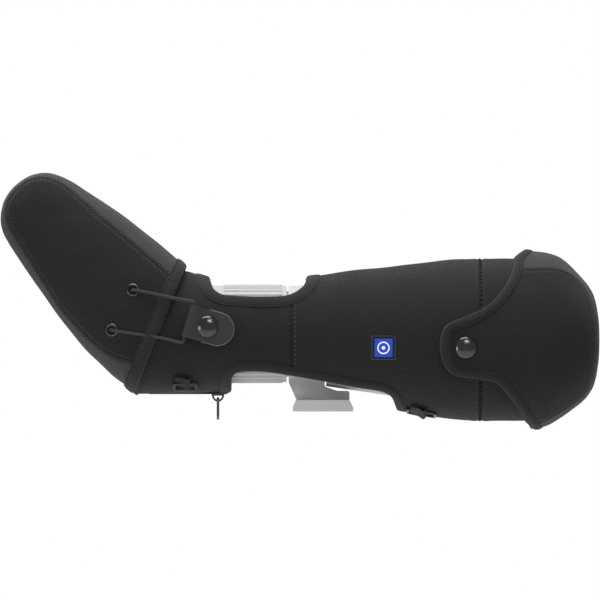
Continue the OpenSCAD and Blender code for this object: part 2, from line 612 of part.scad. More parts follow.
// Oval wire ring whose straight bar lies in the loop; it reaches along +Y from the bar.
module strap_ring(w, len) translate([0, 0, -2.3]) {
    for (y = [0, len]) translate([-w / 2, y, 0]) rotate([0, 90, 0]) cylinder(r = ring_wire, h = w);
    for (s = [-1, 1]) translate([s * w / 2, 0, 0]) rotate([-90, 0, 0]) cylinder(r = ring_wire, h = len);
    for (s = [-1, 1], y = [0, len]) translate([s * w / 2, y, 0]) sphere(r = ring_wire);
}
module rear_strap_ring() color("silver") strap_frame(-96, -38) strap_ring(15, 6.5);
module front_strap_ring() color("silver") strap_frame(69, -20, front_tilt) strap_ring(19, 6.5);

/* ---- Zip along the belly of the rear panel ---- */
tooth_pitch = 2.5;
slider_x = -73.5;
zip_end_x = -66.5;
module zip_tape() color("#18191a") for (s = [-1, 1])
    translate([zip_x, s > 0 ? 1.5 : -zip_w / 2, zip_z + 0.6]) cube([zip_end_x - zip_x, zip_w / 2 - 1.5, 1]);
module zip_teeth() color("#2a2b2c") for (x = [zip_x + 1:tooth_pitch:zip_end_x - 2])
    translate([x, -1.5, zip_z + 0.1]) cube([1.5, 3, 2]);
bow_z = zip_z - 1.3;      // centre of the slider's bow, round which the pull turns
bow_r = 4.2;
bow_w = 1.4;
module zip_slider() color("dimgray") {
    translate([slider_x - 4.5, -3.2, bow_z]) cube([9, 6.4, 1.2]);
    translate([slider_x, bow_w / 2, bow_z]) rotate([90, 0, 0]) difference() {
        cylinder(r = bow_r, h = bow_w);
        translate([0, 0, -1]) cylinder(r = bow_r - 1.4, h = bow_w + 2);
        translate([-10, 0.4, -1]) cube([20, 10, bow_w + 2]);
    }
}
pull_top = 1.1;           // from the bow's centre to the pull's top edge
pull_end = 16.8;
pull_w = 5.6;
pull_bar = 1.3;
// A flat bar with round ends, across Y, between two depths below the bow's centre.
module pull_bar_shape(top, end, w, t) translate([slider_x - t / 2, 0, bow_z]) {
    translate([0, -w / 2, -end + w / 2]) cube([t, w, end - top - w]);
    for (z = [top + w / 2, end - w / 2]) translate([0, 0, -z]) rotate([0, 90, 0]) cylinder(r = w / 2, h = t);
}
module zip_pull() color("dimgray") difference() {
    pull_bar_shape(pull_top, pull_end, pull_w, 1.8);
    pull_bar_shape(pull_top + pull_bar, pull_end - pull_bar, pull_w - 2 * pull_bar, 4);
}

tripod_collar();
collar_lock_screw();
body_tube();
prism_housing();
prism();
prism_cradle();
objective_barrel();
objective_cell();
objective_front_lens();
objective_rear_lens();
objective_retainer();
eyepiece_bayonet();
eyepiece_barrel();
field_lens();
eye_lens();
focus_ring();
focus_grip();
focus_lens_cell();
focus_lens();
zoom_ring();
zoom_grip();
zoom_lens_cell();
zoom_lens();
eyecup_helix();
eyecup_sleeve();
eyecup_rubber();
sunshade();
sunshade_bumper();
cover_rear();
cover_barrel();
cover_front();
top_cutout_binding();
bottom_cutout_binding();
label();
snap_studs();
rear_strap_loop();
front_strap_loop();
zip_tape();
zip_teeth();
cap_gusset();
cap_side_panels();
cap_binding();
right_flap();
left_flap();
right_flap_snap();
left_flap_snap();
hood_gusset();
hood_side_panels();
hood_binding();
hood_eyelets();
hood_cords();
right_tab();
left_tab();
right_tab_snap();
left_tab_snap();
rear_strap_ring();
front_strap_ring();
zip_slider();
zip_pull();
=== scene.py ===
# %% [markdown]
# # Spotting scope in its field case
# An angled spotting scope stands dressed in a three-piece neoprene case: a body cover cut by windows over the
# focus ring and the foot, a hood over the eyepiece, and a front cover with snap flaps over the sunshade.
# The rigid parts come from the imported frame. Everything sewn, knitted, plaited or cut from leather is made here.
#
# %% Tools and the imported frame
import json
import math

import bpy
import numpy as np
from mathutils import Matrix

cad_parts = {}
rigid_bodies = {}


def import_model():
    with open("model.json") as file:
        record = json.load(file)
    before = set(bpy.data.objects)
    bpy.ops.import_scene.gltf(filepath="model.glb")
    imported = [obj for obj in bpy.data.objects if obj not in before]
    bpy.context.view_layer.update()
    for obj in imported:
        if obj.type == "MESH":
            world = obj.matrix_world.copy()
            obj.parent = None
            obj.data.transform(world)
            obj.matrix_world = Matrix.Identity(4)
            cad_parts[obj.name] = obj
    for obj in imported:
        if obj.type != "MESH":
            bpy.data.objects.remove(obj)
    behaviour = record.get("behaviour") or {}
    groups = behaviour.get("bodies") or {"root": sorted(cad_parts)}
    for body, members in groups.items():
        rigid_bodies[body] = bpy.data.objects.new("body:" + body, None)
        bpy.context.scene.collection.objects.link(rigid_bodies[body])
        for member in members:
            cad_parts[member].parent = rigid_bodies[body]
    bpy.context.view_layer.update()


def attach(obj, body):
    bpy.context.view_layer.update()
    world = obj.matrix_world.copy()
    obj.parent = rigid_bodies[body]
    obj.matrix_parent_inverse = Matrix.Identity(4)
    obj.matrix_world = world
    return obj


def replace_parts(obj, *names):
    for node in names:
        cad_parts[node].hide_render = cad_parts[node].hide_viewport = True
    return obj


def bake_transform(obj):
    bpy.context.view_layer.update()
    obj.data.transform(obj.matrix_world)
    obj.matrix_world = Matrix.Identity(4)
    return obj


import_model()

# %% [markdown]
# ## Camera
# The view is square on to the right side at the height of the eyepiece's base, through a long lens, so that the
# circles of the case stay close to true outlines. The distance sets the lens for a width of 420 mm at the scope.
#
# %% Camera
MM = 0.001
view_width, view_distance, sensor_width = 0.420, 6.0, 36
middle_x, middle_z = -0.0161, 0.0777
camera = bpy.data.objects.new("camera", bpy.data.cameras.new("camera"))
bpy.context.scene.collection.objects.link(camera)
camera.data.sensor_width = sensor_width
camera.data.lens = sensor_width * view_distance / view_width
camera.data.clip_end = 60
camera.location = (middle_x, -view_distance, middle_z)
camera.rotation_euler = (math.radians(90), 0, 0)
bpy.context.scene.camera = camera
bpy.context.scene.view_settings.view_transform = "Standard"
print("lens", round(camera.data.lens), "mm")

# %% [markdown]
# ## Studio
# A pale floor lies well below the scope, which its tripod would hold up, and keeps the shadow. The world is white
# to the camera and through glass, and lights the object at a plain level. One wide lamp overhead gives the soft
# light along the top of the neoprene; three weaker ones fill from the front, from low on the left and from behind.
#
# %% Studio
def nodes_of(owner):
    """The empty node tree of a material or world, with a function that adds a node and one that links sockets."""
    owner.use_nodes = True
    tree = owner.node_tree
    tree.nodes.clear()

    def add(kind, **values):
        node = tree.nodes.new(kind)
        for key, value in values.items():
            setattr(node, key, value)
        return node

    return tree, add, tree.links.new


def seen_directly(add, link):
    """A value of 1 on camera and transmission rays, and 0 on the rays that light things."""
    path = add("ShaderNodeLightPath")
    larger = add("ShaderNodeMath", operation="MAXIMUM")
    link(path.outputs["Is Camera Ray"], larger.inputs[0])
    link(path.outputs["Is Transmission Ray"], larger.inputs[1])
    return larger.outputs[0]


def lamp(name, place, size, power):
    """A square soft lamp that looks at the middle of the scope."""
    light = bpy.data.lights.new(name, "AREA")
    light.size, light.energy = size, power
    thing = bpy.data.objects.new(name, light)
    bpy.context.scene.collection.objects.link(thing)
    thing.location = place
    aim = np.array([-0.01, 0.0, 0.06]) - np.array(place)
    from_up = math.atan2(math.hypot(aim[0], aim[1]), -aim[2])
    thing.rotation_euler = (from_up, 0, math.atan2(aim[1], aim[0]) - math.pi / 2)


world = bpy.data.worlds.new("studio")
bpy.context.scene.world = world
tree, add, link = nodes_of(world)
lit, white, mixed = add("ShaderNodeBackground"), add("ShaderNodeBackground"), add("ShaderNodeMixShader")
lit.inputs["Color"].default_value = (1, 1, 1, 1)
lit.inputs["Strength"].default_value = 0.42
white.inputs["Color"].default_value = (1, 1, 1, 1)
white.inputs["Strength"].default_value = 1.0
link(seen_directly(add, link), mixed.inputs[0])
link(lit.outputs[0], mixed.inputs[1])
link(white.outputs[0], mixed.inputs[2])
link(mixed.outputs[0], add("ShaderNodeOutputWorld").inputs["Surface"])

lamp("overhead", (-0.15, -0.2, 1.5), 1.3, 36)
lamp("front_fill", (0.25, -1.7, 0.9), 0.5, 7)
lamp("low_left", (-1.1, -1.1, -0.12), 0.4, 3.6)
lamp("back_edge", (-0.5, 1.1, 1.1), 0.9, 8)

floor_z = -0.36
bpy.ops.mesh.primitive_circle_add(vertices=64, radius=1.9, fill_type="NGON", location=(0, 0, floor_z))
floor = bpy.context.object
floor.name = "floor"
paint = bpy.data.materials.new("floor_paint")
tree, add, link = nodes_of(paint)
matt = add("ShaderNodeBsdfDiffuse")
matt.inputs["Color"].default_value = (0.86, 0.86, 0.86, 1)
link(matt.outputs[0], add("ShaderNodeOutputMaterial").inputs["Surface"])
floor.data.materials.append(paint)
print("floor at", floor_z)

# %% [markdown]
# ## Finishes
# Cloth is coloured and raised by its own weave, with painted shade in the weave's hollows and a painted highlight on
# its loops: each sewn piece carries a flat cloth coordinate in metres, so the rows of loops follow the panel as they
# do on the roll of fabric. Hard parts get a plain finish with a fine grain in object coordinates.
#
# %% Plain finishes
def colour(red, green, blue):
    """Linear colour from 0 to 255 screen values."""
    part = np.array([red, green, blue]) / 255
    linear = np.where(part <= 0.04045, part / 12.92, ((part + 0.055) / 1.055) ** 2.4)
    return (*linear.tolist(), 1.0)


def principled(add, link, tint, roughness, metallic=0.0, specular=0.5, sheen=0.0, coat=0.0):
    """A Principled surface wired to a material output."""
    shader = add("ShaderNodeBsdfPrincipled")
    shader.inputs["Base Color"].default_value = tint
    shader.inputs["Roughness"].default_value = roughness
    shader.inputs["Metallic"].default_value = metallic
    shader.inputs["Specular IOR Level"].default_value = specular
    shader.inputs["Sheen Weight"].default_value = sheen
    shader.inputs["Sheen Roughness"].default_value = 0.45
    shader.inputs["Coat Weight"].default_value = coat
    link(shader.outputs[0], add("ShaderNodeOutputMaterial").inputs["Surface"])
    return shader


def hard(name, tint, roughness, metallic=0.0, specular=0.5, grain=0.0, size=0.0008, coat=0.0):
    """A hard finish. grain is the height in metres of a fine even texture, and size its spacing."""
    made = bpy.data.materials.new(name)
    _, add, link = nodes_of(made)
    shader = principled(add, link, tint, roughness, metallic, specular, coat=coat)
    if grain:
        place, noise, bump = add("ShaderNodeTexCoord"), add("ShaderNodeTexNoise"), add("ShaderNodeBump")
        noise.inputs["Scale"].default_value = 1 / size
        noise.inputs["Detail"].default_value = 2
        bump.inputs["Distance"].default_value = grain
        bump.inputs["Strength"].default_value = 0.7
        link(place.outputs["Object"], noise.inputs["Vector"])
        link(noise.outputs["Fac"], bump.inputs["Height"])
        link(bump.outputs[0], shader.inputs["Normal"])
    return made


painted_metal = hard("painted_metal", colour(160, 161, 162), 0.5, grain=0.00002)
ribbed_armour = hard("ribbed_armour", colour(150, 151, 152), 0.55, grain=0.00002)
black_metal = hard("black_metal", colour(38, 39, 40), 0.38, metallic=0.3, grain=0.00001)
rubber = hard("rubber", colour(30, 31, 31), 0.6, specular=0.35, grain=0.00004)
snap_gloss = hard("snap_gloss", colour(10, 10, 11), 0.16, specular=0.75)
ring_wire = hard("ring_wire", colour(56, 57, 59), 0.22, metallic=1.0)
zip_steel = hard("zip_steel", colour(92, 93, 95), 0.25, metallic=1.0)
# This black serves for real black thread, and also for the thin cords laid deep in the seam crevices, which are
# painted shade.
thread_black = hard("thread_black", colour(17, 17, 17), 0.7, specular=0.25)
thread_grey = hard("thread_grey", colour(58, 59, 59), 0.7, specular=0.25)
leather = hard("leather", colour(34, 35, 36), 0.42, specular=0.35, grain=0.00006, size=0.0011)
leather_edge = hard("leather_edge", colour(72, 74, 76), 0.38, specular=0.5)
label_blue = hard("label_blue", colour(22, 62, 178), 0.6, specular=0.3, grain=0.00004, size=0.0006)
label_white = hard("label_white", colour(228, 230, 233), 0.7, specular=0.2)
label_black = hard("label_black", colour(22, 23, 26), 0.75, specular=0.2, grain=0.00005, size=0.0006)

coated_glass = bpy.data.materials.new("coated_glass")
_, add, link = nodes_of(coated_glass)
glass_shader = principled(add, link, colour(150, 180, 190), 0.03, specular=0.7)
glass_shader.inputs["Transmission Weight"].default_value = 0.9
glass_shader.inputs["IOR"].default_value = 1.5
print("plain finishes", len(bpy.data.materials))

# %% [markdown]
# ## Knitted cloth
# Jersey over foam reads as fine rows of loops, the stretch gusset as a coarser diagonal rib, and the edge tape as
# a pebbly knit. One function draws all three from two crossed waves over the cloth coordinate, a broad mottle and
# a fuzz; the height of that weave also paints shade into its hollows and a highlight on its raised loops.
#
# %% Cloth finishes
def knit(name, tint, across, along, depth, slant=0.0, painted_shade=0.45, sheen=0.3, roughness=0.85, mottle=0.12):
    """Cloth whose loops are across by along millimetres, with depth in metres; slant leans the rows. The weave's
    height also darkens the colour in its hollows and lightens it on its raised loops, by the given share: painted
    shade and painted highlight.
    """
    made = bpy.data.materials.new(name)
    _, add, link = nodes_of(made)
    shader = principled(add, link, tint, roughness, specular=0.16, sheen=sheen)
    cloth = add("ShaderNodeUVMap", uv_map="cloth")
    split = add("ShaderNodeSeparateXYZ")
    link(cloth.outputs[0], split.inputs[0])

    def sum_of(a, b, factor):
        """a + b * factor, as a node."""
        node = add("ShaderNodeMath", operation="MULTIPLY_ADD")
        link(b, node.inputs[0])
        node.inputs[1].default_value = factor
        link(a, node.inputs[2])
        return node.outputs[0]

    def wave(value, spacing):
        """sin(2 pi value / spacing), as nodes."""
        scaled = add("ShaderNodeMath", operation="MULTIPLY")
        scaled.inputs[1].default_value = 2 * math.pi / (spacing * MM)
        link(value, scaled.inputs[0])
        sine = add("ShaderNodeMath", operation="SINE")
        link(scaled.outputs[0], sine.inputs[0])
        return sine.outputs[0]

    u, v = split.outputs["X"], split.outputs["Y"]
    one = wave(sum_of(u, v, slant), across)
    two = wave(sum_of(v, u, -slant * 0.35), along)
    loops = add("ShaderNodeMath", operation="MULTIPLY")
    link(one, loops.inputs[0])
    link(two, loops.inputs[1])
    both = add("ShaderNodeMath", operation="MULTIPLY_ADD")      # crossed loops over an even row
    link(one, both.inputs[0])
    both.inputs[1].default_value = 0.6
    link(loops.outputs[0], both.inputs[2])
    place = add("ShaderNodeTexCoord")
    fuzz, broad = add("ShaderNodeTexNoise"), add("ShaderNodeTexNoise")
    fuzz.inputs["Scale"].default_value, fuzz.inputs["Detail"].default_value = 850, 3
    broad.inputs["Scale"].default_value, broad.inputs["Detail"].default_value = 90, 3
    link(place.outputs["Object"], fuzz.inputs["Vector"])
    link(place.outputs["Object"], broad.inputs["Vector"])
    height = sum_of(both.outputs[0], fuzz.outputs["Fac"], 1.3)
    bump = add("ShaderNodeBump")
    bump.inputs["Distance"].default_value = depth
    bump.inputs["Strength"].default_value = 0.55
    link(height, bump.inputs["Height"])
    link(bump.outputs[0], shader.inputs["Normal"])
    # Painted shade and painted highlight: the colour is scaled down in the weave's hollows and up on its raised
    # loops.
    shade = add("ShaderNodeMapRange")
    shade.inputs["From Min"].default_value, shade.inputs["From Max"].default_value = -1.2, 2.6
    shade.inputs["To Min"].default_value, shade.inputs["To Max"].default_value = 1 - painted_shade, 1 + painted_shade
    link(height, shade.inputs["Value"])
    patchy = sum_of(shade.outputs[0], broad.outputs["Fac"], mottle)
    tinted = add("ShaderNodeVectorMath", operation="SCALE")
    tinted.inputs[0].default_value = tint[:3]
    link(patchy, tinted.inputs["Scale"])
    link(tinted.outputs[0], shader.inputs["Base Color"])
    return made


jersey = knit("jersey", colour(26, 28, 27), 1.6, 2.0, 0.00040, slant=0.4, painted_shade=0.95, sheen=0.06)
gusset_knit = knit("gusset_knit", colour(47, 49, 49), 2.0, 2.8, 0.00065, slant=0.8, painted_shade=0.75, sheen=0.1)
tape_knit = knit("tape_knit", colour(31, 33, 33), 1.7, 1.5, 0.00045, slant=0.5, painted_shade=0.75, sheen=0.08)
webbing = knit("webbing", colour(27, 28, 28), 1.8, 1.2, 0.00030, painted_shade=0.6, sheen=0.05, roughness=0.75)
cord_braid = knit("cord_braid", colour(44, 45, 46), 0.9, 0.9, 0.00008, slant=1.0, painted_shade=0.25, sheen=0.15,
                  roughness=0.55, mottle=0.05)
print("cloth finishes", len(bpy.data.materials))

# %% [markdown]
# ## Making a mesh
# Points are worked out in millimetres in the row frame, as whole arrays, and go to Blender in one step. A cloth
# coordinate per point lets the weave follow the panel. Faces are turned to look outward before they are stored.
#
# %% Mesh builder
def grid_quads(rows, columns, around=False, keep=None):
    """Point numbers of the cells of a rows by columns grid; around closes the columns; keep picks cells."""
    i, j = np.meshgrid(np.arange(rows - 1), np.arange(columns if around else columns - 1), indexing="ij")
    k = (j + 1) % columns
    quads = np.stack([i * columns + j, (i + 1) * columns + j, (i + 1) * columns + k, i * columns + k], -1)
    return quads[keep] if keep is not None else quads.reshape(-1, 4)


def piece(name, points, faces, material, body=None, slot=None, cloth=None, outward=None):
    """A mesh object from points (N, 3) in mm and faces, a list of point-number arrays with 3 or 4 columns.
    outward gives a direction per point that the faces look along; without it the mesh is closed, and the sign of
    its volume, the sum of a . (b - a) x (c - a), decides. cloth is (N, 2) in mm."""
    points = np.asarray(points, float).reshape(-1, 3)
    faces = [np.asarray(f).reshape(-1, np.shape(f)[-1]) for f in faces if len(f)]
    used = np.zeros(len(points), bool)
    for f in faces:
        used[f.ravel()] = True
    number = np.cumsum(used) - 1
    points = points[used]
    faces = [number[f] for f in faces]
    total = 0.0
    for f in faces:
        a, b, c = points[f[:, 0]], points[f[:, 1]], points[f[:, 2]]
        normal = np.cross(b - a, c - a)
        if outward is None:
            total += (normal * a).sum()
            if f.shape[1] == 4:
                total += (np.cross(c - a, points[f[:, 3]] - a) * a).sum()
        else:
            total += (normal * outward[used][f[:, 0]]).sum()
    if total < 0:
        faces = [f[:, ::-1] for f in faces]
    mesh = bpy.data.meshes.new(name)
    loops = np.concatenate([f.ravel() for f in faces]).astype(np.int32)
    sizes = np.concatenate([np.full(len(f), f.shape[1]) for f in faces]).astype(np.int32)
    mesh.vertices.add(len(points))
    mesh.vertices.foreach_set("co", (points * MM).astype(np.float32).ravel())
    mesh.loops.add(len(loops))
    mesh.loops.foreach_set("vertex_index", loops)
    mesh.polygons.add(len(sizes))
    mesh.polygons.foreach_set("loop_start", np.concatenate([[0], np.cumsum(sizes)[:-1]]).astype(np.int32))
    mesh.update(calc_edges=True)
    mesh.polygons.foreach_set("use_smooth", np.ones(len(sizes), bool))
    if cloth is not None:
        flat = np.asarray(cloth, float).reshape(-1, 2)[used] * MM
        mesh.uv_layers.new(name="cloth").data.foreach_set("uv", flat[loops].astype(np.float32).ravel())
    mesh.validate()
    thing = bpy.data.objects.new(name, mesh)
    bpy.context.scene.collection.objects.link(thing)
    mesh.materials.append(material)
    if body:
        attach(thing, body)
    return thing


def slab(name, top, under, cloth, material, body, slot):
    """A thin closed piece between two skins, grids of points (rows, columns, 3) joined all round their border."""
    rows, columns = top.shape[:2]
    n = rows * columns
    face = grid_quads(rows, columns)
    border = np.concatenate([np.arange(columns), columns * np.arange(2, rows + 1) - 1,
                             n - 2 - np.arange(columns - 1), columns * np.arange(rows - 2, 0, -1)])
    after = np.roll(border, -1)
    return piece(name, np.concatenate([top.reshape(-1, 3), under.reshape(-1, 3)]),
                 [face, face[:, ::-1] + n, np.stack([after, border, border + n, after + n], 1)],
                 material, body, slot, np.tile(cloth.reshape(-1, 2), (2, 1)))


panel_wall, cover_wall = 2.8, 3.5


def thicken(thing, wall=panel_wall):
    """Gives an open panel its wall, on the inside, in mm."""
    solid = thing.modifiers.new("wall", "SOLIDIFY")
    solid.thickness = wall * MM
    solid.offset = -1
    return thing


print("walls", panel_wall, cover_wall, "mm")

# %% [markdown]
# ## Lines and sections
# A case outline is set by a few stations measured off the object and joined by smooth curves. Lines in space are
# resampled at even steps, so that tape, stitches and cords keep an even pitch round a corner.
#
# %% Curves
def curve(stations, values):
    """A smooth function through given stations: cubics whose slope at a station is that of its neighbours."""
    xs, ys = np.array(stations, float), np.array(values, float)
    slope = np.gradient(ys, xs)

    def at(x):
        x = np.clip(np.asarray(x, float), xs[0], xs[-1])
        i = np.clip(np.searchsorted(xs, x) - 1, 0, len(xs) - 2)
        w = xs[i + 1] - xs[i]
        t = (x - xs[i]) / w
        return ((2 * t**3 - 3 * t**2 + 1) * ys[i] + (t**3 - 2 * t**2 + t) * w * slope[i]
                + (3 * t**2 - 2 * t**3) * ys[i + 1] + (t**3 - t**2) * w * slope[i + 1])

    return at


def distances(line):
    """Length along a line up to each of its points: the running sum of the steps."""
    return np.concatenate([[0], np.cumsum(np.linalg.norm(np.diff(line, axis=0), axis=1))])


def resample(line, step=None, count=None, closed=False):
    """The line at even steps along its length, or with count points."""
    line = np.asarray(line, float)
    if closed:
        line = np.vstack([line, line[:1]])
    along = distances(line)
    count = count or max(4, int(round(along[-1] / step)) + (0 if closed else 1))
    at = np.linspace(0, along[-1], count, endpoint=not closed)
    return np.stack([np.interp(at, along, line[:, k]) for k in range(line.shape[1])], 1)


def through(points, step=0.5, closed=False):
    """A smooth line through given points, at even steps: between two points b and c, with a before and d after,
    a cubic whose slope at b is (c - a) / 2 and at c is (d - b) / 2."""
    points = np.asarray(points, float)
    if closed:
        points = np.vstack([points[-1:], points, points[:2]])
    else:
        points = np.vstack([2 * points[0] - points[1], points, 2 * points[-1] - points[-2]])
    t = np.linspace(0, 1, 24, endpoint=False)[:, None]
    parts = []
    for a, b, c, d in zip(points[:-3], points[1:-2], points[2:-1], points[3:]):
        parts.append(0.5 * (2 * b + (c - a) * t + (2 * a - 5 * b + 4 * c - d) * t**2
                            + (3 * b - a - 3 * c + d) * t**3))
    line = np.vstack(parts) if closed else np.vstack(parts + [points[-2][None]])
    return resample(line, step=step, closed=closed)


def direction(line, closed=False):
    """Unit tangents of a line in space."""
    if closed:
        run = np.roll(line, -1, 0) - np.roll(line, 1, 0)
    else:
        run = np.gradient(line, axis=0)
    return run / np.linalg.norm(run, axis=1, keepdims=True)


def unit(v):
    """Each row at length 1."""
    return v / np.maximum(np.linalg.norm(v, axis=-1, keepdims=True), 1e-9)


clock = [(math.cos(a), math.sin(a)) for a in np.arange(12) * math.pi / 6]
print("round 12 points of a unit circle", round(float(distances(through(clock, 0.01, closed=True))[-1]), 2))

# %% [markdown]
# ## Stretched forms
# Neoprene stretched over a tube takes an oval section that changes along an axis. A form is that axis with a
# centre height, a half height, a half width and a squareness. It can lift a side outline on to its surface, pull
# a loose point on to it and give the outward direction, which is all that panels, tape and stitches need.
#
# %% Forms
class Form:
    """Oval sections along an axis: |y / wide|^power + |(h - centre) / high|^power = 1 at distance s."""

    def __init__(self, origin, axis, up, centre, high, wide, power):
        self.origin, self.axis, self.up = (np.array(v, float) for v in (origin, axis, up))
        self.centre, self.high, self.wide, self.power = centre, high, wide, power

    def place(self, s, h, y):
        """Points in the row frame from the form's own coordinates."""
        s, h, y = np.broadcast_arrays(s, h, y)
        return self.origin + s[..., None] * self.axis + h[..., None] * self.up + y[..., None] * [0, 1, 0]

    def local(self, p):
        """The form's own coordinates (s, h, y) of points."""
        q = p - self.origin
        return q @ self.axis, q @ self.up, q[..., 1]

    def half_width(self, s, h):
        """Distance from the middle plane to the side at (s, h)."""
        share = np.clip(np.abs(h - self.centre(s)) / np.maximum(self.high(s), 1e-6), 0, 1)
        return np.maximum(self.wide(s), 0) * (1 - share**self.power) ** (1 / self.power)

    def flank(self, s, h, side):
        """Points on the surface seen from the side at (s, h); side is 1 for the left and -1 for the right."""
        return self.place(s, h, side * self.half_width(s, h))

    def level(self, p):
        """1 on the surface, less inside."""
        s, h, y = self.local(p)
        return (np.abs(y / np.maximum(self.wide(s), 0.05)) ** self.power
                + np.abs((h - self.centre(s)) / np.maximum(self.high(s), 0.05)) ** self.power)

    def normal(self, p):
        """Outward directions at points near the surface."""
        steps = np.eye(3) * 0.05
        return unit(np.stack([self.level(p + d) - self.level(p - d) for d in steps], -1))

    def onto(self, p, lift=0.0):
        """Points pulled on to the surface across the axis, then lifted along the normal by lift mm."""
        s, h, y = self.local(p)
        grow = np.maximum(self.level(p), 1e-9) ** (-1 / self.power)
        on = self.place(s, self.centre(s) + (h - self.centre(s)) * grow, y * grow)
        return on + self.normal(on) * np.asarray(lift, float)[..., None]


flat_axis, flat_up = (1, 0, 0), (0, 0, 1)
lean = math.sqrt(0.5)
eye_origin, eye_axis, eye_up = (-115, 0, 54), (-lean, 0, lean), (lean, 0, lean)
mitre = math.tan(math.radians(22.5))      # half of the eyepiece's bend of 45 degrees
neck_radius = 39.9

case_radius = curve([-170, -110, -85, -55, -21.7, 20, 60, 95, 114, 160],
                    [42, 42, 42, 40.5, 38.8, 45, 51, 56, 56.5, 56.4])
case_sag = curve([-170, -113, -97, -80, -60, -21.7, 160], [0, 0.2, 1.0, -1.5, -0.9, 0, 0])
case = Form((0, 0, 0), flat_axis, flat_up,
            curve([-170, -113, -97, -80, -60, -21.7, 40, 95, 160], [54, 54.2, 55, 53.2, 53.6, 54, 51.9, 50, 50]),
            lambda x: case_radius(x) + case_sag(x), case_radius, 2.0)
neck_size = curve([-60, 40], [neck_radius, neck_radius])
neck = Form(eye_origin, eye_axis, eye_up, curve([-60, 40], [0, 0]), neck_size, neck_size, 2.0)
nose_stations = [60, 130, 146.4, 157, 166, 171.5, 176.4, 181.3, 186.6, 189.8, 191.6, 192.7, 193.2]
cover = Form((0, 0, 0), flat_axis, flat_up,
             curve(nose_stations, [49.7, 49.7, 49.7, 50.2, 51.2, 51, 50.4, 49.7, 49.4, 49.4, 49.6, 50, 50]),
             curve(nose_stations, [62.3, 62.3, 62.2, 60.4, 56.2, 52.2, 47.9, 43.3, 36.8, 30.2, 22.2, 12, 0]),
             curve(nose_stations, [62.3, 62.3, 62.3, 61.6, 60, 58.4, 56.2, 53, 47.8, 42, 35.5, 24, 0]), 2.06)
hood_stations = np.array([-30, -11, 0, 14, 28, 43, 60, 75, 92, 107, 119, 128, 135, 140, 142.6, 144, 144.6])
hood_top = np.array([43.5, 44.8, 45.5, 46, 46, 45, 43, 41.2, 38, 34.8, 32.2, 28.8, 24.4, 18.2, 12.6, 6, 0.5])
hood_low = np.array([-40.5, -41.5, -43.3, -43.7, -44, -42.6, -40.6, -37.9, -35, -32, -29.4, -26.4, -21.5, -15, -9.7,
                     -4, 0.5])
hood_wide = [43.8, 43.8, 43.8, 43.7, 43.5, 42.3, 40.6, 38.8, 35.8, 32.8, 30.6, 28.6, 25.6, 21, 16.5, 10, 0]
hood = Form(eye_origin, eye_axis, eye_up, curve(hood_stations, (hood_top + hood_low) / 2),
            curve(hood_stations, (hood_top - hood_low) / 2), curve(hood_stations, hood_wide), 2.45)
print("case at the seam", float(case_radius(-21.7)), "hood tip", float(hood.high(140.0)))

# %% [markdown]
# ## Outlines of the windows, the front cover and the hood
# Each line is a short list of points in millimetres, seen from the side. The windows are cut straight through the
# body cover: one over the focus ring and one for the foot. The front cover's mouth runs down from the top, out
# into a flap that carries the snap and back under. The hood's mouth is a straight cut on the mitre plane.
#
# %% Outlines
top_window = through([(-81, 98), (-79.6, 92.8), (-78, 87.4), (-74.4, 83.4), (-68.6, 81), (-57.4, 80.2),
                      (-42.7, 79.9), (-28.7, 80.3), (-21.2, 82.1), (-14.6, 86.4), (-11.8, 90.6), (-10.6, 97)], 0.02)
low_window = through([(-64.9, 8), (-64.6, 20), (-62.8, 25.2), (-57.3, 27.8), (-40.1, 27.8), (-19.6, 24.7),
                      (2.1, 21), (23.5, 16.9), (36.8, 14.8), (43.8, 13), (47.8, 10.2), (50.2, 6.2), (53.5, -4)], 0.02)
cover_mouth = through([(143.5, 116), (141, 112.6), (134.6, 107.1), (132.2, 98.4), (128, 89.6), (122, 80.7),
                       (113.8, 73.4), (101, 66.7), (91.4, 63), (86.6, 60.6), (83, 55.3), (81.6, 46.2), (83, 36.4),
                       (86.9, 29.2), (93.3, 25.2), (106.4, 23.3), (118, 21.2), (125, 16), (131, 8.8), (137, 0),
                       (142, -7), (147.4, -12.4), (150, -16)], 0.02)
cover_seam = through([(132, 98.4), (137, 98.7), (146.8, 98.9), (157.1, 99.3), (163.1, 98.7), (168.7, 97),
                      (174.6, 93.6), (179.8, 88.8), (184.4, 82), (188, 71.5), (189.7, 61.7), (190.2, 50),
                      (189.7, 39), (188.3, 28.7), (185.9, 19.5), (182.8, 13.6), (178, 8.8), (171, 3.6), (163, -1.4),
                      (155.4, -5.8), (150, -8), (144, -8.8)], 0.5)
down = np.linspace(52, -52, 5200)
hood_mouth = np.stack([mitre * down + 0.3, down], 1)
hood_seam = through([(14.5, 34.4), (27, 34), (48, 32.5), (81, 29.4), (106, 27.8), (119, 26.6), (129, 23.2),
                     (136, 17.6), (140, 10.5), (141.3, 0), (139.6, -8.5), (135.5, -14.6), (126, -20), (111, -23.6),
                     (79, -31), (60, -35), (42, -35.9), (27, -35.7), (11, -32.5), (1, -27.4), (-9.5, -23.6)], 0.5)


def inside(outline, x, z):
    """True where (x, z) is within the closed outline, by crossing count."""
    corner = resample(outline, step=1.0)
    found = np.zeros(np.shape(x), bool)
    for (x0, z0), (x1, z1) in zip(corner, np.roll(corner, -1, 0)):
        if z0 != z1:
            found ^= ((z0 > z) != (z1 > z)) & (x < (x1 - x0) * (z - z0) / (z1 - z0) + x0)
    return found


def rim(form, outline, step=1.5):
    """The closed line in space where a straight cut through the side outline meets the form's surface."""
    s, h = outline[:, 0], outline[:, 1]
    on = np.abs(h - form.centre(s)) < form.high(s)
    first = np.argmax(on)
    last = first + np.argmin(on[first:]) if not on[first:].all() else len(on)
    s, h = s[first:last], h[first:last]
    return resample(np.vstack([form.flank(s, h, -1), form.flank(s, h, 1)[::-1]]), step=step, closed=True)


print("rims", len(rim(case, top_window)), len(rim(case, low_window)), len(rim(cover, cover_mouth)))
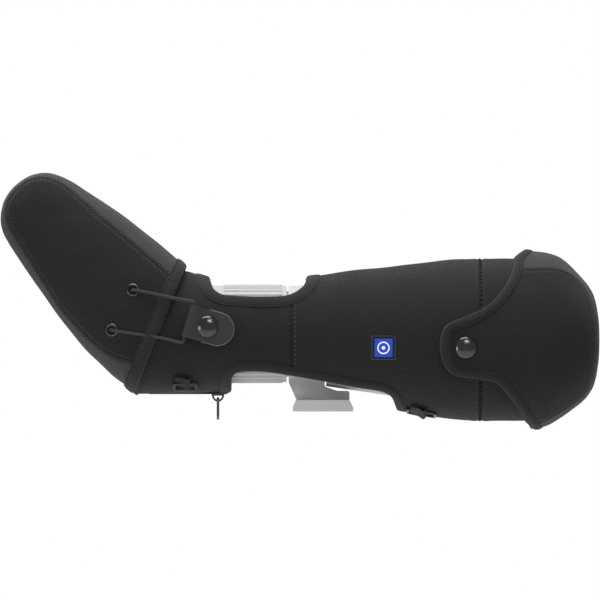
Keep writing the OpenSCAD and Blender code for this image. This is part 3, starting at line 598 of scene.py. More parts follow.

# %% [markdown]
# ## Bound edges
# Every raw neoprene edge is wrapped in a knitted tape, folded over the edge and sewn down, with the stitching
# sunk in a channel near its inner side. The section is one closed profile, laid square to the edge and pulled on
# to the form, so that the tape hugs the curve. The thread in the channel is a round cord along the same line, and
# the same cord serves later for the painted shade in the seam crevices and for the elastic.
#
# %% Tape and stitches
def tube(name, line, radius, material, body, slot, sides=14, closed=False):
    """A round cord: line + radius (side cos t + up sin t), where side and up keep from twisting along the line.
    An open cord ends in low points."""
    run = direction(line, closed)
    side = unit(np.cross(run, np.where(np.abs(run[:, 1:2]) > 0.9, [[0, 0, 1.0]], [[0, 1.0, 0]])))
    for n in range(1, len(line)):
        side[n] = side[n - 1] - run[n] * (side[n - 1] @ run[n])
        side[n] /= np.linalg.norm(side[n])
    up = np.cross(run, side)
    turn = np.linspace(0, 2 * np.pi, sides, endpoint=False)
    radius = np.broadcast_to(radius, len(line))[:, None, None]
    points = line[:, None] + radius * (side[:, None] * np.cos(turn)[None, :, None]
                                       + up[:, None] * np.sin(turn)[None, :, None])
    along = distances(line)
    cloth = np.stack(np.broadcast_arrays(along[:, None], turn * 1.4), -1)
    faces = [grid_quads(len(line), sides, around=True)]
    points, cloth = points.reshape(-1, 3), cloth.reshape(-1, 2)
    if closed:
        last = (len(line) - 1) * sides
        j = np.arange(sides)
        faces.append(np.stack([last + j, j, (j + 1) % sides, last + (j + 1) % sides], 1))
    else:
        n, j = len(points), np.arange(sides)
        points = np.vstack([points, line[0] - run[0] * radius[0, 0, 0] * 0.4,
                            line[-1] + run[-1] * radius[-1, 0, 0] * 0.4])
        cloth = np.vstack([cloth, cloth[:1], cloth[-1:]])
        last = n - sides
        faces.append(np.stack([j, (j + 1) % sides, np.full(sides, n)], 1))
        faces.append(np.stack([last + (j + 1) % sides, last + j, np.full(sides, n + 1)], 1))
    return piece(name, points, faces, material, body, slot, cloth)


def tape(name, form, line, into, body, replaced=(), width=6.2, rise=1.0, closed=True):
    """Edge tape along a line on the form. Each place (b, n) of its section goes to line + across b, is pulled on to
    the form and lifted by n. into is 1 or -1, the side that the cloth lies on. Gives the tape and its thread."""
    wall = panel_wall
    run, out = direction(line, closed), form.normal(line)
    across = unit(into * np.cross(out, run))
    along = distances(line)
    section = [(width + 0.1, -0.7), (width - 0.1, 0.6), (width - 0.5, 0.92), (width - 0.85, 0.62),
               (width - 1.1, 0.42), (width - 1.35, 0.62), (width - 1.75, 1.0), (3.2, 1.12), (1.6, 1.05), (0.5, 0.8),
               (-0.35, 0.1), (-0.75, -0.8), (-0.85, -wall / 2), (-0.75, -wall + 0.7), (-0.35, -wall - 0.1),
               (0.6, -wall - 0.75), (2.6, -wall - 0.9), (width - 0.6, -wall - 0.7), (width, -wall),
               (width, -wall / 2)]
    pucker = 1 + 0.10 * np.sin(2 * np.pi * along / 3.1) + 0.05 * np.sin(2 * np.pi * along / 7.7)
    rows = []
    for b, n in section:
        lift = n * rise * pucker if n > 0.2 else np.full(len(line), n)
        rows.append(form.onto(line + across * b, lift))
    points = np.stack(rows, 1)
    k = len(section)
    if closed:
        points = np.concatenate([points, points[:1]])
        along = np.append(along, along[-1] + np.linalg.norm(line[0] - line[-1]))
    girth = distances(np.array(section))
    points = np.concatenate([points, points[:, :1]], 1)
    cloth = np.stack(np.meshgrid(along, np.append(girth, girth[-1] + 3), indexing="ij"), -1)
    faces = [grid_quads(len(points), k + 1)]
    made = piece(name, points, faces, tape_knit, body, "edge_binding", cloth)
    if replaced:
        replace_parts(made, *replaced)
    thread = tube(f"{name}_thread", form.onto(line + across * (width - 1.1), np.full(len(line), 0.32 * rise)), 0.4,
                  thread_black, body, "edge_binding", 6, closed)
    return made, thread


def stitches(name, line, out, body, material, pitch=3.0, length=2.0, width=0.7, height=0.45, turn=0.0):
    """A row of small raised stitches at an even pitch: each is three rings of six points and a point at both ends.
    turn leans each from the line, in degrees."""
    along = distances(line)
    at = np.arange(pitch / 2, along[-1], pitch)

    def pick(values):
        """The values half way along each stitch."""
        return np.stack([np.interp(at, along, values[:, k]) for k in range(3)], 1)

    centre, ahead, up = pick(line), unit(pick(direction(line))), unit(pick(out))
    side = np.cross(up, ahead)
    lean_by = math.radians(turn)
    ahead, side = (ahead * math.cos(lean_by) + side * math.sin(lean_by),
                   side * math.cos(lean_by) - ahead * math.sin(lean_by))
    around = np.linspace(0, 2 * np.pi, 6, endpoint=False)
    rings = [(a, r * math.cos(t), r * math.sin(t)) for a, r in ((-0.36, 0.8), (0, 1), (0.36, 0.8)) for t in around]
    shape = np.array([(-0.5, 0, 0)] + rings + [(0.5, 0, 0)])
    points = (centre[:, None] + ahead[:, None] * (shape[:, 0] * length)[None, :, None]
              + side[:, None] * (shape[:, 1] * width / 2)[None, :, None]
              + up[:, None] * (shape[:, 2] * height)[None, :, None])
    n = len(shape)
    base = np.arange(len(at))[:, None, None] * n
    ends = np.array([[0, 1 + (t + 1) % 6, 1 + t] for t in range(6)]
                    + [[n - 1, 13 + t, 13 + (t + 1) % 6] for t in range(6)])
    sides = np.array([[1 + 6 * r + t, 1 + 6 * r + (t + 1) % 6, 7 + 6 * r + (t + 1) % 6, 7 + 6 * r + t]
                      for r in (0, 1) for t in range(6)])
    return piece(name, points, [(ends[None] + base).reshape(-1, 3), (sides[None] + base).reshape(-1, 4)],
                 material, body, "neoprene")


print("tape and stitches ready")

# %% [markdown]
# ## Body cover
# Three jersey panels are sewn end to end: the rear one round the prism, the barrel cone and the front cylinder.
# Each is a grid round the form with the cells over a window left out; the tape hides the cut. The panels pinch in
# where a seam joins them, and stay a little uneven between, as stretched foam does.
#
# %% Body cover panels
theta = np.linspace(0, 2 * np.pi, 181)
seam_x = (-21.7, 109.6)
both_sides = ((-1, "right"), (1, "left"))


def unevenness(x, angle):
    """Gentle swell of stretched foam, in mm: three waves that cross along and round the case."""
    return (0.16 * np.sin(x / 9.5 + 2.2 * np.sin(angle)) + 0.12 * np.sin(x / 5.3 - 3 * angle)
            + 0.10 * np.sin(4 * angle + x / 14))


def pinch(gap, swell, reach):
    """Height of the cloth at gap mm from a seam: -1.5 exp(-gap / 0.8) + swell exp(-((gap - 4) / reach)^2)."""
    return swell * np.exp(-((gap - 4) / reach) ** 2) - 1.5 * np.exp(-gap / 0.8)


def over_window(x, z, margin):
    """True over either window, moved by margin mm towards the case and closed above or below it."""
    top = np.vstack([top_window, [(-10.6, 140), (-81, 140)]]) - [0, margin]
    low = np.vstack([low_window, [(53.5, -60), (-64.9, -60)]]) + [0, margin]
    return inside(top, x, z) | inside(low, x, z)


def stations(start, end, pinches, coarse=2.0, fine=0.45):
    """Distances from start to end, closer together near the pinches."""
    at = [start]
    while at[-1] < end:
        near = min(abs(at[-1] - p) for p in pinches)
        at.append(at[-1] + fine + (coarse - fine) * min(1, max(0, (near - 3) / 5)))
    return np.array(at[:-1] + [end])


def body_panel(part, x):
    """A panel of the body cover: a ring of radius r(x, angle) at each station x, from straight down and round, with
    the cells over the windows and along the zip's slit left out."""
    x, angle = np.broadcast_arrays(x, theta)
    seams = sum(pinch(np.abs(x - p), 0.25, 2.5) for p in seam_x)
    radius = case_radius(x) + seams + unevenness(x, angle) * np.clip((x + 118) / 10, 0, 1)
    z = case.centre(x) - (radius + case_sag(x)) * np.cos(angle)
    points = np.stack([x, -radius * np.sin(angle), z], -1)
    mid = 0.25 * (points[:-1, :-1] + points[1:, :-1] + points[:-1, 1:] + points[1:, 1:])
    slit = (np.abs(mid[..., 1]) < 3.4) & (mid[..., 2] < 40) & (mid[..., 0] > -121) & (mid[..., 0] < -60)
    keep = ~over_window(mid[..., 0], mid[..., 2], 0.8) & ~slit
    out = np.stack([0 * x, points[..., 1], z - case.centre(x)], -1).reshape(-1, 3)
    made = piece(f"body_cover_{part}", points, [grid_quads(*x.shape, keep=keep)], jersey, "scope", "neoprene",
                 np.stack([x, angle * 44], -1), out)
    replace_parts(thicken(made), f"cover_{part}")


mitre_x = -115 - mitre * 42 * np.cos(theta)
beside_mitre = 1 - np.array([0.002, 0.004, 0.006, 0.009, 0.013])
rear_rows = np.sort(np.append(stations(0, 1, (1.0,), 1 / 60, 1 / 200), beside_mitre))[:, None]
body_panel("rear", mitre_x + (seam_x[0] - mitre_x) * rear_rows)
body_panel("barrel", stations(*seam_x, seam_x)[:, None])
body_panel("front", stations(seam_x[1], 160, seam_x)[:, None])

# %% [markdown]
# ## Neck of the body cover
# Round the eyepiece's root the rear panel turns up into a short sleeve that the hood covers. Its rows start in the
# mitre plane and end square to the eyepiece, and the edge is bound like the windows.
#
# %% Neck and window tapes
neck_h, neck_y = -neck_radius * np.cos(theta), -neck_radius * np.sin(theta)
neck_top = 17.0
neck_s = mitre * neck_h + (neck_top - mitre * neck_h) * np.linspace(0, 1, 24)[:, None]
step_points = np.stack([mitre_x, -case_radius(mitre_x) * np.sin(theta),
                        case.centre(mitre_x) - case.high(mitre_x) * np.cos(theta)], -1)[None]
neck_points = np.concatenate([step_points, neck.place(neck_s, neck_h, neck_y)])
neck_out = neck_points - neck.place(np.concatenate([mitre * neck_h[None], neck_s]) - 1, 0 * neck_h, 0 * neck_h)
neck_cloth = np.stack(np.broadcast_arrays(np.arange(25.0)[:, None] * 1.5, theta * 42), -1)
thicken(piece("body_cover_neck", neck_points, [grid_quads(*neck_points.shape[:2])], jersey, "scope", "neoprene",
              neck_cloth, neck_out.reshape(-1, 3)))

tape("top_window_tape", case, rim(case, top_window), -1, "scope", ["top_cutout_binding"], width=9.0, rise=0.85)
tape("low_window_tape", case, rim(case, low_window), 1, "scope", ["bottom_cutout_binding"], width=8.0, rise=0.85)
neck_rim = neck.place(np.full(len(theta) - 1, neck_top), neck_h[:-1], neck_y[:-1])
tape("neck_tape", neck, neck_rim, -1, "scope", rise=0.6)
print("neck rim points", len(neck_rim))

# %% [markdown]
# ## Panel seams
# The panels butt and are stitched through, so each seam is a sharp crevice with a row of small stitches beside it.
# At the front seam the stitches sit in the crevice as dark dots and again, finer, on the barrel side. A thin black
# cord laid 1 mm down in the waist and front crevices is painted shade that darkens them.
#
# %% Body cover stitching
ring_angle = np.linspace(0, 2 * np.pi, 720, endpoint=False)


def case_ring(x, lift=0.0):
    """The line round the body cover at distance x, as far as it keeps 7.5 mm clear of the windows."""
    line = np.stack([np.full(len(ring_angle), x), -case_radius(x) * np.sin(ring_angle),
                     case.centre(x) - case.high(x) * np.cos(ring_angle)], -1)
    spare = over_window(line[:, 0], line[:, 2], 7.5)
    line = np.roll(line[~spare], -int(np.argmax(spare)) if spare.any() else 0, 0)
    return line + case.normal(line) * lift


for name, x, thread, pitch, length, height, turn in (
        ("waist_stitches", -19.4, thread_grey, 3.3, 1.7, 0.35, 0),
        ("front_seam_dots", 109.6, thread_black, 3.6, 2.6, 1.5, 90),
        ("front_seam_stitches", 106.6, thread_grey, 2.9, 1.3, 0.28, 0),
        ("front_edge_stitches", 112.6, thread_grey, 2.9, 1.3, 0.28, 0)):
    ring = case_ring(x, -0.9 if thread is thread_black else 0.0)
    broken = np.linalg.norm(np.diff(ring, axis=0), axis=1) > 5
    cuts = [0, *(np.nonzero(broken)[0] + 1), len(ring)]
    for number, (a, b) in enumerate(zip(cuts[:-1], cuts[1:])):
        if b - a > 12:
            stitches(f"{name}_{number}", ring[a:b], case.normal(ring[a:b]), "scope", thread, pitch, length, 0.75,
                     height, turn)
            if name in ("waist_stitches", "front_seam_dots"):
                seam_shade = case_ring(min(seam_x, key=lambda s: abs(s - x)), -1.0)[a + 1:b - 1]
                # A thin black cord 1 mm down in the crevice: painted shade that darkens the seam.
                tube(f"{name}_seam_{number}", seam_shade, 0.55, thread_black, "scope", "neoprene", 6)
print("seam stitches at", seam_x)

# %% [markdown]
# ## Rounded panels
# The front cover and the hood are each made of two shaped sides and a strip between them. A side panel has no
# natural rows, so its grid is laid in square rings from a middle point out to the edge: the outer ring follows the
# edge exactly, corner to corner, and the rows crowd together beside it where the seam pinches.
#
# %% Star panels
def star_panel(name, form, edge, middle, side, body, nodes, seam_shade, rings=64, wall=panel_wall, tilt=0.0):
    """A panel within a closed side outline, edge (N, 2), on one side of the form (side 1 is left, -1 right). Ring k
    lies at middle + (1 - (1 - k / rings)^1.35) (edge - middle). seam is the part of the edge that is sewn; the cloth
    dips beside it. tilt turns the weave, in degrees."""
    i, j = np.meshgrid(np.arange(-rings, rings + 1), np.arange(-rings, rings + 1), indexing="ij")
    k = np.maximum(np.abs(i), np.abs(j))
    place = np.where((j == -k) & (i < k), i + k, np.where((i == k) & (j < k), 3 * k + j,
                     np.where((j == k) & (i > -k), 5 * k - i, 7 * k - j)))
    place = np.where(k == 0, 0, place / np.maximum(8 * k, 1)) % 1.0
    edge = resample(edge, step=0.25, closed=True)
    share = np.linspace(0, 1, len(edge) + 1)
    loop = np.vstack([edge, edge[:1]])
    target = np.stack([np.interp(place, share, loop[:, c]) for c in (0, 1)], -1)
    reach = 1 - (1 - k / rings) ** 1.35
    flat = np.array(middle) + reach[..., None] * (target - np.array(middle))
    s, h = flat[..., 0], flat[..., 1]
    points = form.flank(s, h, side)
    out = form.normal(points)
    lift = 0.18 * np.sin(s / 7.1 + 1.7) * np.sin(h / 8.3) + 0.12 * np.sin(s / 3.9 + h / 5.1)
    rim_line = form.flank(*seam_shade.T, side)
    gap = np.concatenate([np.linalg.norm(part[:, None] - rim_line[None], axis=-1).min(1)
                          for part in np.array_split(points.reshape(-1, 3), 40)]).reshape(s.shape)
    lift = lift * np.clip(gap / 4, 0, 1) + pinch(gap, 0.35, 2.6)
    points = points + out * lift[..., None]
    turn = math.radians(tilt)
    cloth = np.stack([s * math.cos(turn) + h * math.sin(turn), h * math.cos(turn) - s * math.sin(turn)], -1)
    made = piece(name, points, [grid_quads(*s.shape)], jersey, body, "neoprene", cloth, out.reshape(-1, 3))
    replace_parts(thicken(made, wall), *nodes)
    return made


def gusset(name, form, seam_shade, crest, body, node, rows=41, wall=panel_wall):
    """The strip between the two side panels. Across it, t runs from -1 at the right seam over the crest at 0 to 1 at
    the left seam, at crest + (seam - crest) t^2. seam and crest are side outlines from the same end."""
    seam_shade, crest = resample(seam_shade, count=420), resample(crest, count=420)
    t = np.linspace(-1, 1, rows)
    t = np.sign(t) * (1 - (1 - np.abs(t)) ** 1.25)
    flat = crest[:, None] + (seam_shade - crest)[:, None] * (np.abs(t) ** 2)[None, :, None]
    s, h = flat[..., 0], flat[..., 1]
    points = form.onto(form.flank(s, h, np.sign(t)[None]) + 1e-6)
    out = form.normal(points)
    gap = np.minimum(*(np.linalg.norm(points - points[:, [c]], axis=-1) for c in (0, -1)))
    points = points + out * pinch(gap, 0.3, 2.6)[..., None]
    along = distances(points[:, rows // 2])
    across = np.cumsum(np.linalg.norm(np.diff(points, axis=1, prepend=points[:, :1]), axis=-1), axis=1)
    cloth = np.stack(np.broadcast_arrays(across, along[:, None]), -1)
    made = piece(name, points, [grid_quads(*s.shape)], gusset_knit, body, "ribbed_neoprene", cloth,
                 out.reshape(-1, 3))
    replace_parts(thicken(made, wall), node)


def sewn_line(form, seam_shade, side, inset=0.0, lift=0.0):
    """A seam as a line in space, set in from itself by inset mm across the form."""
    line = form.flank(*seam_shade.T, side)
    out = form.normal(line)
    return form.onto(line + side * np.cross(out, direction(line)) * inset, np.full(len(line), lift))


print("panel builders ready")

# %% [markdown]
# ## Front cover
# A cap of the same foam cloth slips over the sunshade. Its sides reach back in a flap that snaps to the barrel.
# One mesh covers the cap's side and the flap.
#
# %% Front cover panels
def crest_of(form, start, end):
    """The outline of the form in the middle plane, from the top at start round the closed end to below at end."""
    last = 0.999 * (nose_stations if form is cover else hood_stations)[-1]
    ease = (1 - np.linspace(0, 1, 400)) ** 2
    run = last - (last - start) * ease
    top = np.stack([run, form.centre(run) + form.high(run)], 1)
    run = (last - (last - end) * ease)[::-1]
    low = np.stack([run, form.centre(run) - form.high(run)], 1)
    return np.vstack([top, low])


def meet(point, outline):
    """Number of the outline's point nearest to a point."""
    return int(np.argmin(np.linalg.norm(outline - point, axis=1)))


mouth_top, mouth_low = meet(cover_seam[0], cover_mouth), meet(cover_seam[-1], cover_mouth)
side_edge = np.vstack([cover_seam, cover_mouth[mouth_top:mouth_low][::-1]])
fold_front, fold_back = (0.1345, 0, 0), (0.1175, 0, 0)        # where the flap's bend starts and ends, in metres
for side, word in both_sides:
    panel = star_panel(f"front_cover_{word}", cover, side_edge, (128, 44), side, None,
                       ["cap_side_panels", f"{word}_flap"], cover_seam, wall=cover_wall)
    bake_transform(panel)
    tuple(fold_front)
    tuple(fold_back)
    # A thin black cord 1 mm down in the seam's crevice: painted shade that darkens the seam.
    tube(f"front_cover_{word}_seam", sewn_line(cover, cover_seam, side, 0, -1.0), 0.55, thread_black, "front_cover",
         "neoprene", 6)
    line = sewn_line(cover, cover_seam, side, -2.4)
    stitches(f"front_cover_{word}_stitches", line, cover.normal(line), "front_cover", thread_grey, 3.0, 1.5, 0.7, 0.3)
gusset("front_cover_strip", cover, cover_seam, crest_of(cover, 140.8, 145.6), "front_cover", "cap_gusset",
       wall=cover_wall)

on_cover = np.abs(cover_mouth[:, 1] - cover.centre(cover_mouth[:, 0])) < cover.high(cover_mouth[:, 0])
for side, word in both_sides:
    line = resample(cover.flank(*cover_mouth[on_cover].T, side), step=1.5)
    for made in tape(f"front_cover_{word}_tape", cover, line, -side, None, ["cap_binding"], closed=False):
        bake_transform(made)
        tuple(fold_front)
        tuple(fold_back)
print("front cover edge", len(side_edge))

# %% [markdown]
# ## Eyepiece hood
# The hood is a pouch on the slanted eyepiece: two shaped sides and a lighter twill strip over the top, round the
# tip and back below. Its mouth is bound and butts on the body cover along the mitre.
#
# %% Hood panels
mouth_part = hood_mouth[(hood_mouth[:, 1] < 34.5) & (hood_mouth[:, 1] > hood_seam[-1, 1])]
hood_edge = np.vstack([hood_seam, mouth_part[::-1]])
for side, word in both_sides:
    star_panel(f"hood_{word}", hood, hood_edge, (62, -1), side, "hood", ["hood_side_panels"], hood_seam, rings=56,
               tilt=-45)
    # A thin black cord 1 mm down in the seam's crevice: painted shade that darkens the seam.
    tube(f"hood_{word}_seam", sewn_line(hood, hood_seam, side, 0, -1.0), 0.6, thread_black, "hood", "neoprene", 6)
    for part, inset, thread, turn in (("outer", -2.2, thread_grey, 0), ("inner", 1.6, thread_black, 35)):
        line = sewn_line(hood, hood_seam, side, inset)
        stitches(f"hood_{word}_{part}_stitches", line, hood.normal(line), "hood", thread, 2.7, 1.4, 0.8, 0.35, turn)
gusset("hood_strip", hood, hood_seam, crest_of(hood, 19.4, -17.2), "hood", "hood_gusset")
hood_rim = rim(hood, hood_mouth)
tape("hood_tape", hood, hood_rim, -1, "hood", ["hood_binding"], width=8.6, rise=1.5)
print("hood rim", len(hood_rim))

# %% [markdown]
# ## Hood eyelets
# Pressed eyelets line two holes in each side of the hood. Each is a closed profile turned round the cloth's outward
# direction, with a thin bright lip where the black has worn off.
#
# %% Eyelets
def turned(name, centre, axis, profile, material, body, slot, sides=48):
    """A ring turned round axis through centre from a closed profile (r, h) in mm: centre + r (side cos t + up sin t)
    + h axis."""
    axis = np.array(axis, float) / np.linalg.norm(axis)
    side = unit(np.cross(axis, [0.3, 0.2, 0.9]))
    up = np.cross(axis, side)
    turn = np.linspace(0, 2 * np.pi, sides, endpoint=False)
    profile = np.array(profile, float)
    ring = side * np.cos(turn)[:, None] + up * np.sin(turn)[:, None]
    points = np.array(centre) + profile[:, None, :1] * ring[None] + profile[:, None, 1:] * axis
    points = np.concatenate([points, points[:1]])
    return piece(name, points, [grid_quads(len(points), sides, around=True)], material, body, slot)


eye_barrel = [(3.0, -1.5), (3.0, 0.4), (3.25, 0.85), (3.6, 0.95), (4.2, 0.75), (4.75, 0.2), (4.8, -1.2)]
eye_lip = [(3.2, 0.0), (3.3, 0.16), (3.5, 0.22), (3.7, 0.14), (3.72, 0.0)]
eyes = {}
for side, word in both_sides:
    eyes[word] = []
    for number, (x, z) in enumerate(((-132.3, 84.6), (-147.0, 56.8))):
        s, h, _ = hood.local(np.array([x, 0, z]))
        spot = hood.flank(s, h, side)
        out = hood.normal(spot[None])[0]
        made = turned(f"eyelet_{word}_{number}", spot, out, eye_barrel, snap_gloss, "hood", "snap_black")
        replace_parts(made, "hood_eyelets")
        turned(f"eyelet_lip_{word}_{number}", spot + out * 0.86, out, eye_lip, ring_wire, "hood", "snap_black")
        eyes[word].append((spot, out))
print("upper right eyelet at", eyes["right"][0][0].round(1))

# %% [markdown]
# ## Elastic cord
# A loop of round elastic runs from the upper eyelet, through the rolled end of the pull tab and back to the lower
# one; knots hold its ends inside. Its path is a smooth line through a few places, so it bows a little on the way.
#
# %% Elastic cord
roll_top, roll_low, cord_y = np.array([-89.7, 75.3]), np.array([-96.6, 50.8]), 46.6
for side, word in both_sides:
    (top, top_out), (low, low_out) = eyes[word]

    def flat(xz):
        """A place in the tab's roll, which lies beside the case."""
        return np.array([xz[0], side * cord_y, xz[1]])

    def on_way(eye, roll, share, bow, rise):
        """A place on the way from an eyelet to the roll: eye (1 - share) + roll share, moved out and up."""
        return eye * (1 - share) + flat(roll) * share + [0, side * bow, rise]

    path = through([top - top_out * 5.5 + [1.5, 0, -1], top - top_out * 2 + [0.5, 0, -0.4],
                    top + top_out * 1.6 + [1, 0, -0.2], on_way(top, roll_top, 0.28, 1.2, 0.6),
                    on_way(top, roll_top, 0.7, 0.4, 0.7), flat(roll_top) + [-3, 0, 1.6], flat(roll_top),
                    flat(roll_top * 0.66 + roll_low * 0.34), flat(roll_top * 0.34 + roll_low * 0.66), flat(roll_low),
                    flat(roll_low) + [-2.6, 0, -2.6], on_way(low, roll_low, 0.7, 0.4, -1.4),
                    on_way(low, roll_low, 0.28, 1.0, -0.6), low + low_out * 1.6 + [1, 0, 0.2],
                    low - low_out * 2 + [0.4, 0, 0.2], low - low_out * 5.5 + [1.5, 0, 1]], 0.7)
    made = tube(f"elastic_{word}", path, 1.05, cord_braid, "hood", "elastic_cord")
    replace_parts(made, "hood_cords")
print("cord length", round(float(distances(path)[-1]), 1), "mm")

# %% [markdown]
# ## Pull tabs
# Each tab is one leather strap folded round the cord, with its round end over the snap and a polished line along the
# cut edge. A folded strap is a line in the plane of its run and its thickness, spread across its width; the webbing
# of the strap lugs is made in the same way.
#
# %% Pull tabs
def folded_strap(name, line, step, across, half_thick, place, material, body, slot):
    """A strap along line (N, 2) of even step, with across (N, M) the places over its width: the skins lie
    half_thick (M) to each side of the line, and place sends (run, width, height) to the row frame."""
    run = unit(np.gradient(line, axis=0))
    square_to = np.stack([-run[:, 1], run[:, 0]], 1)
    skins = []
    for face in (1, -1):
        u = line[:, None] + face * square_to[:, None] * half_thick[None, :, None]
        skins.append(place(np.stack([u[..., 0], across, u[..., 1]], -1)))
    cloth = np.stack(np.broadcast_arrays(np.arange(len(line))[:, None] * step, across), -1)
    return slab(name, *skins, cloth, material, body, slot)


tab_half, round_at, tab_step = 11.5, 20.5, 0.35            # half the width, where the round end begins, point spacing
bend = np.linspace(0, np.pi, 17)
tab_line = through([(32, -1.6), (28, -1.6), (22, -1.6), (16, -1.5), (11, -1.05), (7, 0.2), (4.2, 1.55), (2.2, 2.1)]
                   + [(-2.15 * math.sin(b), 2.15 * math.cos(b)) for b in bend]
                   + [(1.6, -2.3), (4, -2.42), (8, -2.45), (13.6, -2.46)], tab_step)
outer_leg = (np.arange(len(tab_line)) < len(tab_line) // 2) & (tab_line[:, 0] > round_at)
half = np.where(outer_leg, np.sqrt(np.maximum(tab_half**2 - (tab_line[:, 0] - round_at) ** 2, 0.01)), tab_half)
across = np.sin(np.linspace(-np.pi / 2, np.pi / 2, 25))
round_end = [(round_at + tab_half * math.cos(t), tab_half * math.sin(t))
             for t in np.linspace(-np.pi / 2, np.pi / 2, 60)]
edge_line = np.array([(u, -tab_half) for u in np.linspace(12, 20, 12)] + round_end
                     + [(u, tab_half) for u in np.linspace(20, 12, 12)])
edge_height = np.interp(edge_line[:, 0], [11, 16, 22, 32], [-1.05, -1.5, -1.6, -1.6]) + 0.3
for side, word in both_sides:
    corner = np.array([-93.15, side * cord_y, 63.05])
    tab_frame = np.array([[0.963, 0, -0.271], [0.271, 0, 0.963], [0, side, 0]])       # along, across, outwards
    half_thick = 0.38 - 0.16 * np.abs(across) ** 10
    made = folded_strap(f"{word}_pull_tab", tab_line, tab_step, across[None] * half[:, None], half_thick,
                        lambda p: corner + p @ tab_frame, leather, f"{word}_tab", "tab_leather")
    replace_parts(made, f"{word}_tab")
    tube(f"{word}_pull_tab_edge", corner + np.column_stack([edge_line, edge_height]) @ tab_frame, 0.34, leather_edge,
         f"{word}_tab", "tab_leather", sides=8)
print("tab strap", round(float(distances(tab_line)[-1]), 1), "mm long before folding")

# %% [markdown]
# ## Label
# The label is a small woven square: a grey hem, a black ground, a blue field and a plain white ring and dot. Each
# is a thin slab laid on the curve of the case, one over the other.
#
# %% Label
label_x, label_z = 42.0, 44.6


def patch(name, material, along, high, lift, thick):
    """A small cloth patch on the right of the body cover: grids of offsets along and up, as a thin slab."""
    x, z = label_x + along, label_z + high
    points = case.flank(x, z, -1)
    out = case.normal(points)
    return slab(name, points + out * (lift + thick), points + out * lift, np.stack([x, z], -1), material, "scope",
                "woven_label")


def square(half, count=15):
    """Offsets on an even square grid from -half to half."""
    grid = np.linspace(-half, half, count)
    return np.meshgrid(grid, grid, indexing="ij")


def ring_grid(inner, outer):
    """Offsets r (cos t, sin t), with r from inner to outer and t once round."""
    turn, r = np.meshgrid(np.linspace(0, 2 * np.pi, 49), np.linspace(inner, outer, 4), indexing="ij")
    return r * np.cos(turn), r * np.sin(turn)


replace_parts(patch("label_hem", leather_edge, *square(8.3), 0.05, 0.5), "label")
patch("label_ground", label_black, *square(7.8), 0.5, 0.16)
patch("label_field", label_blue, *square(6.3), 0.62, 0.22)
patch("label_ring", label_white, *ring_grid(3.4, 4.3), 0.82, 0.14)
patch("label_dot", label_white, *ring_grid(0.02, 1.25), 0.82, 0.14)

print("label at", label_x, label_z)

# %% [markdown]
# ## Strap lugs
# Each strap ring hangs in a short piece of webbing that is folded round the ring's bar and sewn to the belly. It is
# bent flat first, then tilted and turned round the case to its place.
#
# %% Strap lugs
lug_step = 0.3


def lug(name, node, x, angle, tilt, half):
    """A folded webbing lug at distance x, half mm to each side, angle degrees round the case from straight down."""
    a, b = math.radians(angle), math.radians(tilt)
    radius, middle = float(case_radius(x)), float(case.centre(x))
    turn_x = np.array([[1, 0, 0], [0, math.cos(a), -math.sin(a)], [0, math.sin(a), math.cos(a)]])
    turn_y = np.array([[math.cos(b), 0, math.sin(b)], [0, 1, 0], [-math.sin(b), 0, math.cos(b)]])
    bend = np.linspace(np.pi / 2, -np.pi / 2, 15)
    line = through([(-7.4, -0.75), (-4.5, -0.78), (-1.5, -0.8)]
                   + [(1.2 + 1.62 * math.cos(t), -2.42 + 1.62 * math.sin(t)) for t in bend]
                   + [(-1.5, -2.6), (-4.5, -2.2), (-7.4, -2.1)], lug_step)
    across = half * np.sin(np.linspace(-np.pi / 2, np.pi / 2, 21))
    half_thick = 0.58 - 0.12 * (np.abs(across) / half) ** 8
    made = folded_strap(name, line, lug_step, np.tile(across, (len(line), 1)), half_thick,
                        lambda p: (p @ turn_y.T + [0, 0, -radius]) @ turn_x.T + [x, 0, middle],
                        webbing, "scope", "webbing")
    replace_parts(made, node)


lug("rear_lug", "rear_strap_loop", -96, -38, 0, 6)
lug("front_lug", "front_strap_loop", 69, -20, 10, 8)
print("lugs placed")

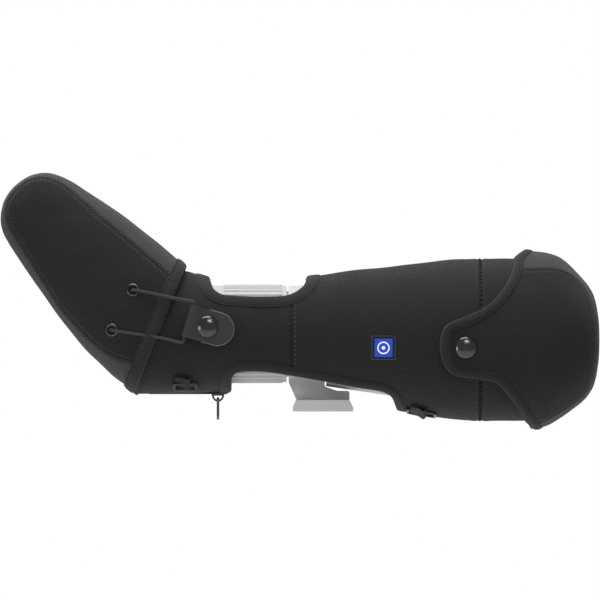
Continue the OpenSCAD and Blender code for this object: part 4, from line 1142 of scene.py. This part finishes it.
# %% [markdown]
# ## Zip tapes
# The zip's tapes lie along the belly, one each side of the teeth. Each is a flat closed section carried along the
# case and closed at both ends by a fan of triangles.
#
# %% Zip tapes
zip_rows, zip_radius, zip_axis_z = 60, 42.0, 54
tape_x = np.linspace(-121.5, -66.8, zip_rows)[:, None]
tape_y = np.array([1.3, 1.5, 2.6, 3.8, 4.6, 4.8, 4.8, 3.8, 2.6, 1.4])
drop = np.array([0.15, -0.25, -0.3, -0.25, -0.1, 0.0, 1.6, 1.8, 1.8, 1.7])
first_row = np.arange(len(tape_y))
last_row = first_row[::-1] + (zip_rows - 1) * len(tape_y)
caps = [np.stack([np.full(len(e) - 2, e[0]), e[1:-1], e[2:]], 1) for e in (first_row, last_row)]
for side, word in both_sides:
    y = side * tape_y
    z = zip_axis_z - np.sqrt(zip_radius**2 - y**2) + drop
    made = piece(f"zip_tape_{word}", np.stack(np.broadcast_arrays(tape_x, y, z), -1),
                 [grid_quads(zip_rows, len(tape_y), around=True), *caps], tape_knit, "scope", "edge_binding",
                 np.stack(np.broadcast_arrays(tape_x, y), -1))
    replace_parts(made, "zip_tape")
print("zip tapes from", tape_x[0, 0], "to", tape_x[-1, 0])

# %% [markdown]
# ## The hard parts
# The telescope inside, its rings, glass, foot, snaps and zip are kept as designed. Each takes the finish of its
# real stuff: painted alloy, ribbed rubber armour, coated glass, glossy snaps and worn steel.
#
# %% Finishes of the hard parts
finish_of = {
    "scope_metal": painted_metal, "black_anodised": black_metal, "focus_rubber": ribbed_armour,
    "black_rubber": rubber, "optical_glass": coated_glass, "snap_black": snap_gloss, "ring_steel": ring_wire,
    "zip_metal": zip_steel,
}
hidden_too = {"neoprene": jersey, "ribbed_neoprene": gusset_knit, "edge_binding": tape_knit,
              "woven_label": label_black, "elastic_cord": cord_braid, "tab_leather": leather, "webbing": webbing}
dressed = 0
for thing in bpy.data.objects:
    if thing.type != "MESH" or not len(thing.data.materials):
        continue
    for number, old in enumerate(thing.data.materials):
        key = old.name.split(".")[0] if old else ""
        new = finish_of.get(key) or hidden_too.get(key)
        if new:
            thing.data.materials[number] = new
            dressed += 1
print("finishes given to", dressed, "parts")
